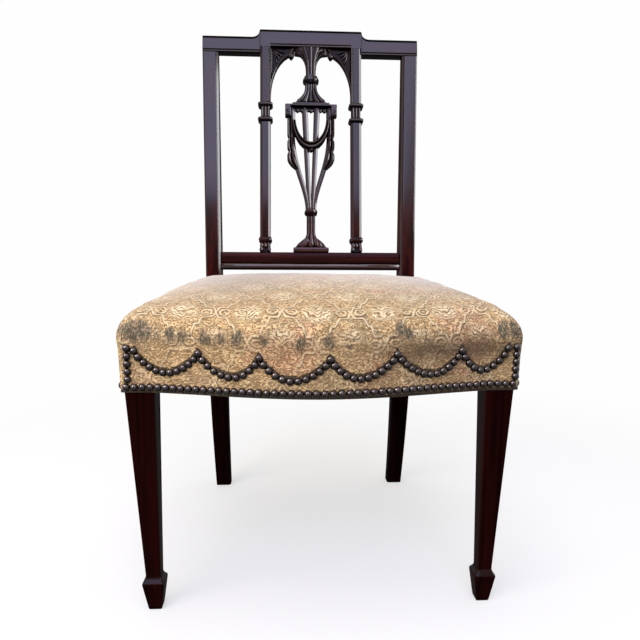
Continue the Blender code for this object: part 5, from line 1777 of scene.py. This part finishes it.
def seat_cover():
    form = stuffed_form()
    plump(form)
    form.modifiers.new("finer", "SUBSURF").levels = 1
    settle(form)
    lumps(form.data)
    keep_clear(form.data)
    faces = [polygon.vertices for polygon in form.data.polygons]
    skin = BVHTree.FromPolygons([vertex.co for vertex in form.data.vertices], faces)
    cut_away(form, frame_void())
    cut_away(form, space_below())
    lay_out(form.data)
    mark_wear_and_light(form.data)
    form.name = "gold_seat_cover"
    form.data.materials.clear()
    form.data.materials.append(GOLD_CLOTH)
    form.data.shade_smooth()
    form.data.set_sharp_from_angle(angle=CLOTH_CREASE)
    dress(form, ("seat_cover", "seat_stuffing"))
    return skin


# Nails
NAIL_TILT = 0.1
NAIL_SIDES = 16
# a nail closer to another than this many radii is left out
NAIL_CLEAR = 1.5
# the cloth is found by lines drawn in from this far out
RAY_FROM = 0.6
# (share of the radius, share of the height) up a nail's dome
DOME = (
    (1.0, -0.35), (1.0, 0.0), (0.985, 0.16), (0.93, 0.38),
    (0.8, 0.62), (0.6, 0.82), (0.36, 0.94), (0.14, 0.995),
)


def add_nail(bm, at, out, rng):
    """A domed nail head, a little tilted and uneven in size."""
    turn = out.to_track_quat("Z", "Y").to_matrix().to_4x4()
    tilt = Matrix.Rotation(rng.uniform(-NAIL_TILT, NAIL_TILT), 4, "X")
    tilt = tilt @ Matrix.Rotation(rng.uniform(-NAIL_TILT, NAIL_TILT), 4, "Y")
    place = Matrix.Translation(at) @ turn @ tilt
    size = NAIL_RADIUS * rng.uniform(0.96, 1.04)
    angles = [2 * math.pi * k / NAIL_SIDES for k in range(NAIL_SIDES)]
    rings = []
    for share, lift in DOME:
        wide = size * share
        points = [Vector((wide * math.cos(a), wide * math.sin(a), NAIL_HIGH * lift)) for a in angles]
        rings.append([place @ point for point in points])
    add_loft(bm, rings)


def on_skin(skin, start, toward):
    """Where a straight line meets the cloth and the way that the cloth faces there, if it does."""
    hit, outward, _, _ = skin.ray_cast(Vector(start), Vector(toward))
    return [] if hit is None else [(hit, outward)]


def row_z(x):
    """Height of the lower row of nails across the front."""
    for (x0, z0), (x1, z1) in zip(LOWER_ROW, LOWER_ROW[1:]):
        if x <= x1:
            return lerp(z0, z1, clamp((x - x0) / (x1 - x0)))
    return LOWER_ROW[-1][1]


def even_steps(points, pitch):
    """Points spaced evenly along a line of points, ends included."""
    spans = [math.dist(a, b) for a, b in zip(points, points[1:])]
    count = max(round(sum(spans) / pitch), 1)
    result = []
    for i in range(count + 1):
        want = sum(spans) * i / count
        k = 0
        while k < len(spans) - 1 and want > spans[k]:
            want -= spans[k]
            k += 1
        share = clamp(want / spans[k])
        result.append(tuple(lerp(a, b, share) for a, b in zip(points[k], points[k + 1])))
    return result


def along_bow(line, pitch):
    """Even steps along a line of (x, z) points on the bowed front."""
    return [(x, z) for x, _, z in even_steps([(x, -bow(x), z) for x, z in line], pitch)]


def festoon_line():
    """The curve of the festoon across the front, as (x, z) points between its peaks."""
    swags = []
    for k in range(0, len(FESTOON) - 2, 2):
        (x0, z0), (xv, zv), (x1, z1) = FESTOON[k : k + 3]
        low = (xv - x0) / (x1 - x0)
        line = []
        for share in shares(24):
            bent = share / low * 0.5 if share < low else 0.5 + (share - low) / (1 - low) * 0.5
            dip = math.sin(math.pi * bent) ** 0.75
            line.append((lerp(x0, x1, share), lerp(lerp(z0, z1, share), zv, dip)))
        swags.append(line)
    return swags


def nails(skin):
    rng = random.Random(SEED)
    # the lower edge, the corners and the festoon, on the front
    span = LEG_OUTER_X - 0.003
    front = along_bow([(x, row_z(x)) for x, in straight((-span,), (span,), 200)], NAIL_PITCH)
    for x in CORNER_ROWS:
        front += straight((x, row_z(x) + NAIL_PITCH * 0.98), (x, CORNER_TOP_Z), 4)
    for line in festoon_line():
        front += along_bow(line, NAIL_PITCH * 0.95)[:-1]
    placed = []
    for x, z in (*front, FESTOON[-1]):
        placed += on_skin(skin, (x, -RAY_FROM, z), (0.0, 1.0, 0.0))
    side_line = [(side_x(LEG_SQUARE * i / 9 + i * 0.04), 0.012 + i * 0.0428) for i in range(10)]
    for sign in (-1, 1):
        for _, y in even_steps(side_line, NAIL_PITCH):
            placed += on_skin(skin, (sign * RAY_FROM, y + PLAN_SHIFT, SIDE_ROW_Z), (-sign, 0.0, 0.0))
    span = POST_INNER["rail"] - 0.008
    for x, _ in even_steps([(-span, 0.0), (span, 0.0)], NAIL_PITCH):
        placed += on_skin(skin, (x, RAY_FROM, SIDE_ROW_Z), (0.0, -1.0, 0.0))
    bm = bmesh.new()
    taken = []
    for at, out in placed:
        if any((at - other).length < NAIL_RADIUS * NAIL_CLEAR for other in taken):
            continue
        taken.append(at)
        add_nail(bm, at + out * 0.0002, out, rng)
    make_piece("bronzed_nail_rows", bm, BRONZE)


# Underside


def strap(name, start, stop, crossings, place, node):
    """A woven strap that lies over and under the straps it crosses."""
    clear = WEB_WIDE / 2 + WEB_THICK
    stations = [(start, WEB_LOW)]
    for middle, high in crossings:
        level = WEB_HIGH if high else WEB_LOW
        stations += [(middle - clear, level), (middle + clear, level)]
    stations.append((stop, WEB_LOW))

    def level_at(along):
        for (a, low), (b, high) in zip(stations, stations[1:]):
            if a <= along <= b:
                return lerp(low, high, smooth(a, b, along))
        return WEB_LOW

    bm = bmesh.new()
    layer = bm.loops.layers.uv.new("cut")
    half = WEB_THICK / 2
    section = []
    for share in shares(10):
        thin = 0.55 if share in (0.0, 1.0) else 1.0
        section.append((lerp(-WEB_WIDE / 2, WEB_WIDE / 2, share), half * thin))
    rings = []
    for share in shares(70):
        along = lerp(start, stop, share)
        middle = level_at(along)
        under = [(along, off, middle - thick) for off, thick in section]
        over = [(along, off, middle + thick) for off, thick in reversed(section)]
        rings.append(under + over)
    add_loft(bm, rings)
    for face in bm.faces:
        for loop in face.loops:
            loop[layer].uv = (loop.vert.co.y, loop.vert.co.x)
    make_piece(name, bm, JUTE, (node,), PLAN @ place)


def webbing():
    lengthwise = [WEB_PITCH_X * (i - 1.5) for i in range(4)]
    across = [WEB_FIRST_Y + WEB_PITCH_Y * j for j in range(3)]
    inner_thick = SIDE_RAIL / SIDE_SLANT + GAP
    for i, x in enumerate(lengthwise):
        start = FRONT_RAIL - bow(abs(x) + WEB_WIDE / 2) - WEB_LAP
        stop = REAR_RAIL_FRONT + WEB_LAP
        crossings = [(y, (i + j) % 2 == 0) for j, y in enumerate(across)]
        place = Matrix(((0, -1, 0, x), (1, 0, 0, 0), (0, 0, 1, 0), (0, 0, 0, 1)))
        way = f"lengthwise_{i + 1}"
        strap(f"jute_strap_{way}", start, stop, crossings, place, f"webbing_{way}")
    for j, y in enumerate(across):
        reach = side_x(y + WEB_WIDE / 2) - inner_thick + WEB_LAP
        crossings = [(x, (i + j) % 2 == 1) for i, x in enumerate(lengthwise)]
        way = f"across_{j + 1}"
        place = Matrix.Translation((0.0, y, 0.0))
        strap(f"jute_strap_{way}", -reach, reach, crossings, place, f"webbing_{way}")


def hessian():
    """The base cloth over the webbing, cut to the seat's plan and notched for the posts."""
    bm = bmesh.new()
    plan = seat_outline(-HESSIAN_INSET)
    add_loft(bm, [standing(plan, HESSIAN_Z + lift) for lift in (0.0, HESSIAN_THICK)])
    thing = bare_object("hessian_base", bm)
    cut_away(thing, post_notches())
    mesh = thing.data
    layer = mesh.uv_layers.new(name="cut")
    for loop in mesh.loops:
        layer.data[loop.index].uv = mesh.vertices[loop.vertex_index].co.xy
    mesh.materials.clear()
    mesh.materials.append(HESSIAN)
    dress(thing, ("base_hessian",))
    low = rows_of(mesh).min(0)
    high = rows_of(mesh).max(0)


# Put the chair together
for side_name, side_sign in SIDES:
    front_leg(side_name, side_sign)
    back_post(side_name, side_sign)
    column(side_name, side_sign)
    spandrel(side_name, side_sign)
crest_rail()
lower_rail()
urn_splat()
cover_skin = seat_cover()
nails(cover_skin)
webbing()
hessian()
for node_name, rail in frame["nodes"].items():
    if "seat_rail" in node_name or "corner_block" in node_name:
        for material_slot in rail.material_slots:
            material_slot.material = BEECH


# Studio
CAMERA_AT = (-0.0476, -1.00244, 0.4884)
CAMERA_YAW = 0.0552
CAMERA_PITCH = 0.1047
CAMERA_ROLL = 0.0053
CAMERA_LENS = 33.31
WHITE_GLOW = 0.99


def seen_rays(tree):
    """One for rays from the camera, mirrors and glass, and nought for the rest."""
    path = add_node(tree, "LightPath")
    rays = [Wire(tree, path.outputs[f"Is {kind} Ray"]) for kind in ("Camera", "Glossy", "Transmission")]
    return rays[0].most(rays[1]).most(rays[2])


def floor():
    """A pale floor that brightens to white away from the chair."""
    bm = bmesh.new()
    bmesh.ops.create_grid(bm, x_segments=1, y_segments=1, size=30.0)
    thing = link_mesh("studio_floor", bm)
    material, tree, shader = new_material(
        "pale_floor", Roughness=0.9, Specular_IOR_Level=0.0, Base_Color=(0.9, 0.9, 0.9)
    )
    place = place_on(tree)
    far = place.into("VectorMath", {0: place}, "Value", operation="LENGTH")
    glow = far.into("Emission", {"Strength": seen_rays(tree) * WHITE_GLOW})
    share = far.rise(0.35, 1.5, 0.55, 1.0)
    mixed = far.into("MixShader", {0: share, 1: Wire(tree, shader.outputs[0]), 2: glow})
    feed(tree, tree.nodes["Material Output"], Surface=mixed)
    thing.data.materials.append(material)


def soft_panel(name, at, toward, size, power, colour, mirrored=True):
    """A soft light, which polish and nails can be kept from mirroring."""
    lamp = bpy.data.lights.new(name, "AREA")
    lamp.shape = "RECTANGLE"
    lamp.size, lamp.size_y = size
    lamp.energy = power
    lamp.color = colour
    thing = bpy.data.objects.new(name, lamp)
    thing.location = at
    thing.rotation_euler = (Vector(toward) - Vector(at)).to_track_quat("-Z", "Y").to_euler()
    thing.visible_camera = False
    thing.visible_glossy = mirrored
    bpy.context.scene.collection.objects.link(thing)
    return thing


def mirrored_card(name, at, toward, size, power, *materials):
    """A bright card that lights nothing and is mirrored only by pieces of some materials."""
    card = soft_panel(name, at, toward, size, power, (0.97, 0.97, 1.0))
    card.visible_diffuse = False
    group = bpy.data.collections.new(name + "_mirrors")
    for thing in bpy.context.scene.objects:
        if thing.type == "MESH" and thing.data.materials and thing.data.materials[0] in materials:
            group.objects.link(thing)
    card.light_linking.receiver_collection = group


def studio():
    floor()
    soft_panel("sky_panel", (-0.36, -2.9, 2.75), (0.0, 0.1, 0.6), (2.8, 2.1), 80.0, (0.62, 0.62, 1.0))
    soft_panel("top_panel", (-0.2, -0.4, 3.2), (0.0, 0.0, 0.4), (2.4, 2.4), 48.0, (1.0, 0.96, 0.92))
    warm = (1.0, 0.91, 0.78)
    soft_panel("front_panel", (-2.5, -2.3, 1.0), (0.0, 0.0, 0.35), (2.4, 1.4), 104.0, warm, mirrored=False)
    wood = (UPRIGHT_MAHOGANY, LEVEL_MAHOGANY)
    mirrored_card("edge_card", (2.5, -1.25, 1.75), (0.0, 0.2, 0.7), (2.1, 1.4), 110.0, *wood)
    mirrored_card("nail_card", (-2.1, -2.1, 2.1), (0.0, -0.25, 0.34), (1.0, 0.8), 120.0, BRONZE)
    world = bpy.data.worlds.new("pale_room")
    world.use_nodes = True
    tree = world.node_tree
    strength = seen_rays(tree).rise(0.0, 1.0, 0.45, WHITE_GLOW)
    feed(tree, tree.nodes["Background"], Color=(1.0, 1.0, 1.0), Strength=strength)
    bpy.context.scene.world = world


def camera():
    yaw = Vector((math.sin(CAMERA_YAW), math.cos(CAMERA_YAW), 0.0))
    forward = yaw * math.cos(CAMERA_PITCH) - Vector((0.0, 0.0, math.sin(CAMERA_PITCH)))
    level = Vector((math.cos(CAMERA_YAW), -math.sin(CAMERA_YAW), 0.0))
    rise = level.cross(forward)
    across = level * math.cos(CAMERA_ROLL) + rise * math.sin(CAMERA_ROLL)
    upward = rise * math.cos(CAMERA_ROLL) - level * math.sin(CAMERA_ROLL)
    lens = bpy.data.cameras.new("photo_camera")
    lens.lens = CAMERA_LENS
    lens.sensor_width = 36.0
    lens.clip_start = 0.01
    thing = bpy.data.objects.new("photo_camera", lens)
    turn = Matrix((across, upward, -forward)).transposed().to_4x4()
    thing.matrix_world = Matrix.Translation(CAMERA_AT) @ turn
    bpy.context.scene.collection.objects.link(thing)
    bpy.context.scene.camera = thing


studio()
camera()
bpy.context.scene.view_settings.view_transform = "Standard"
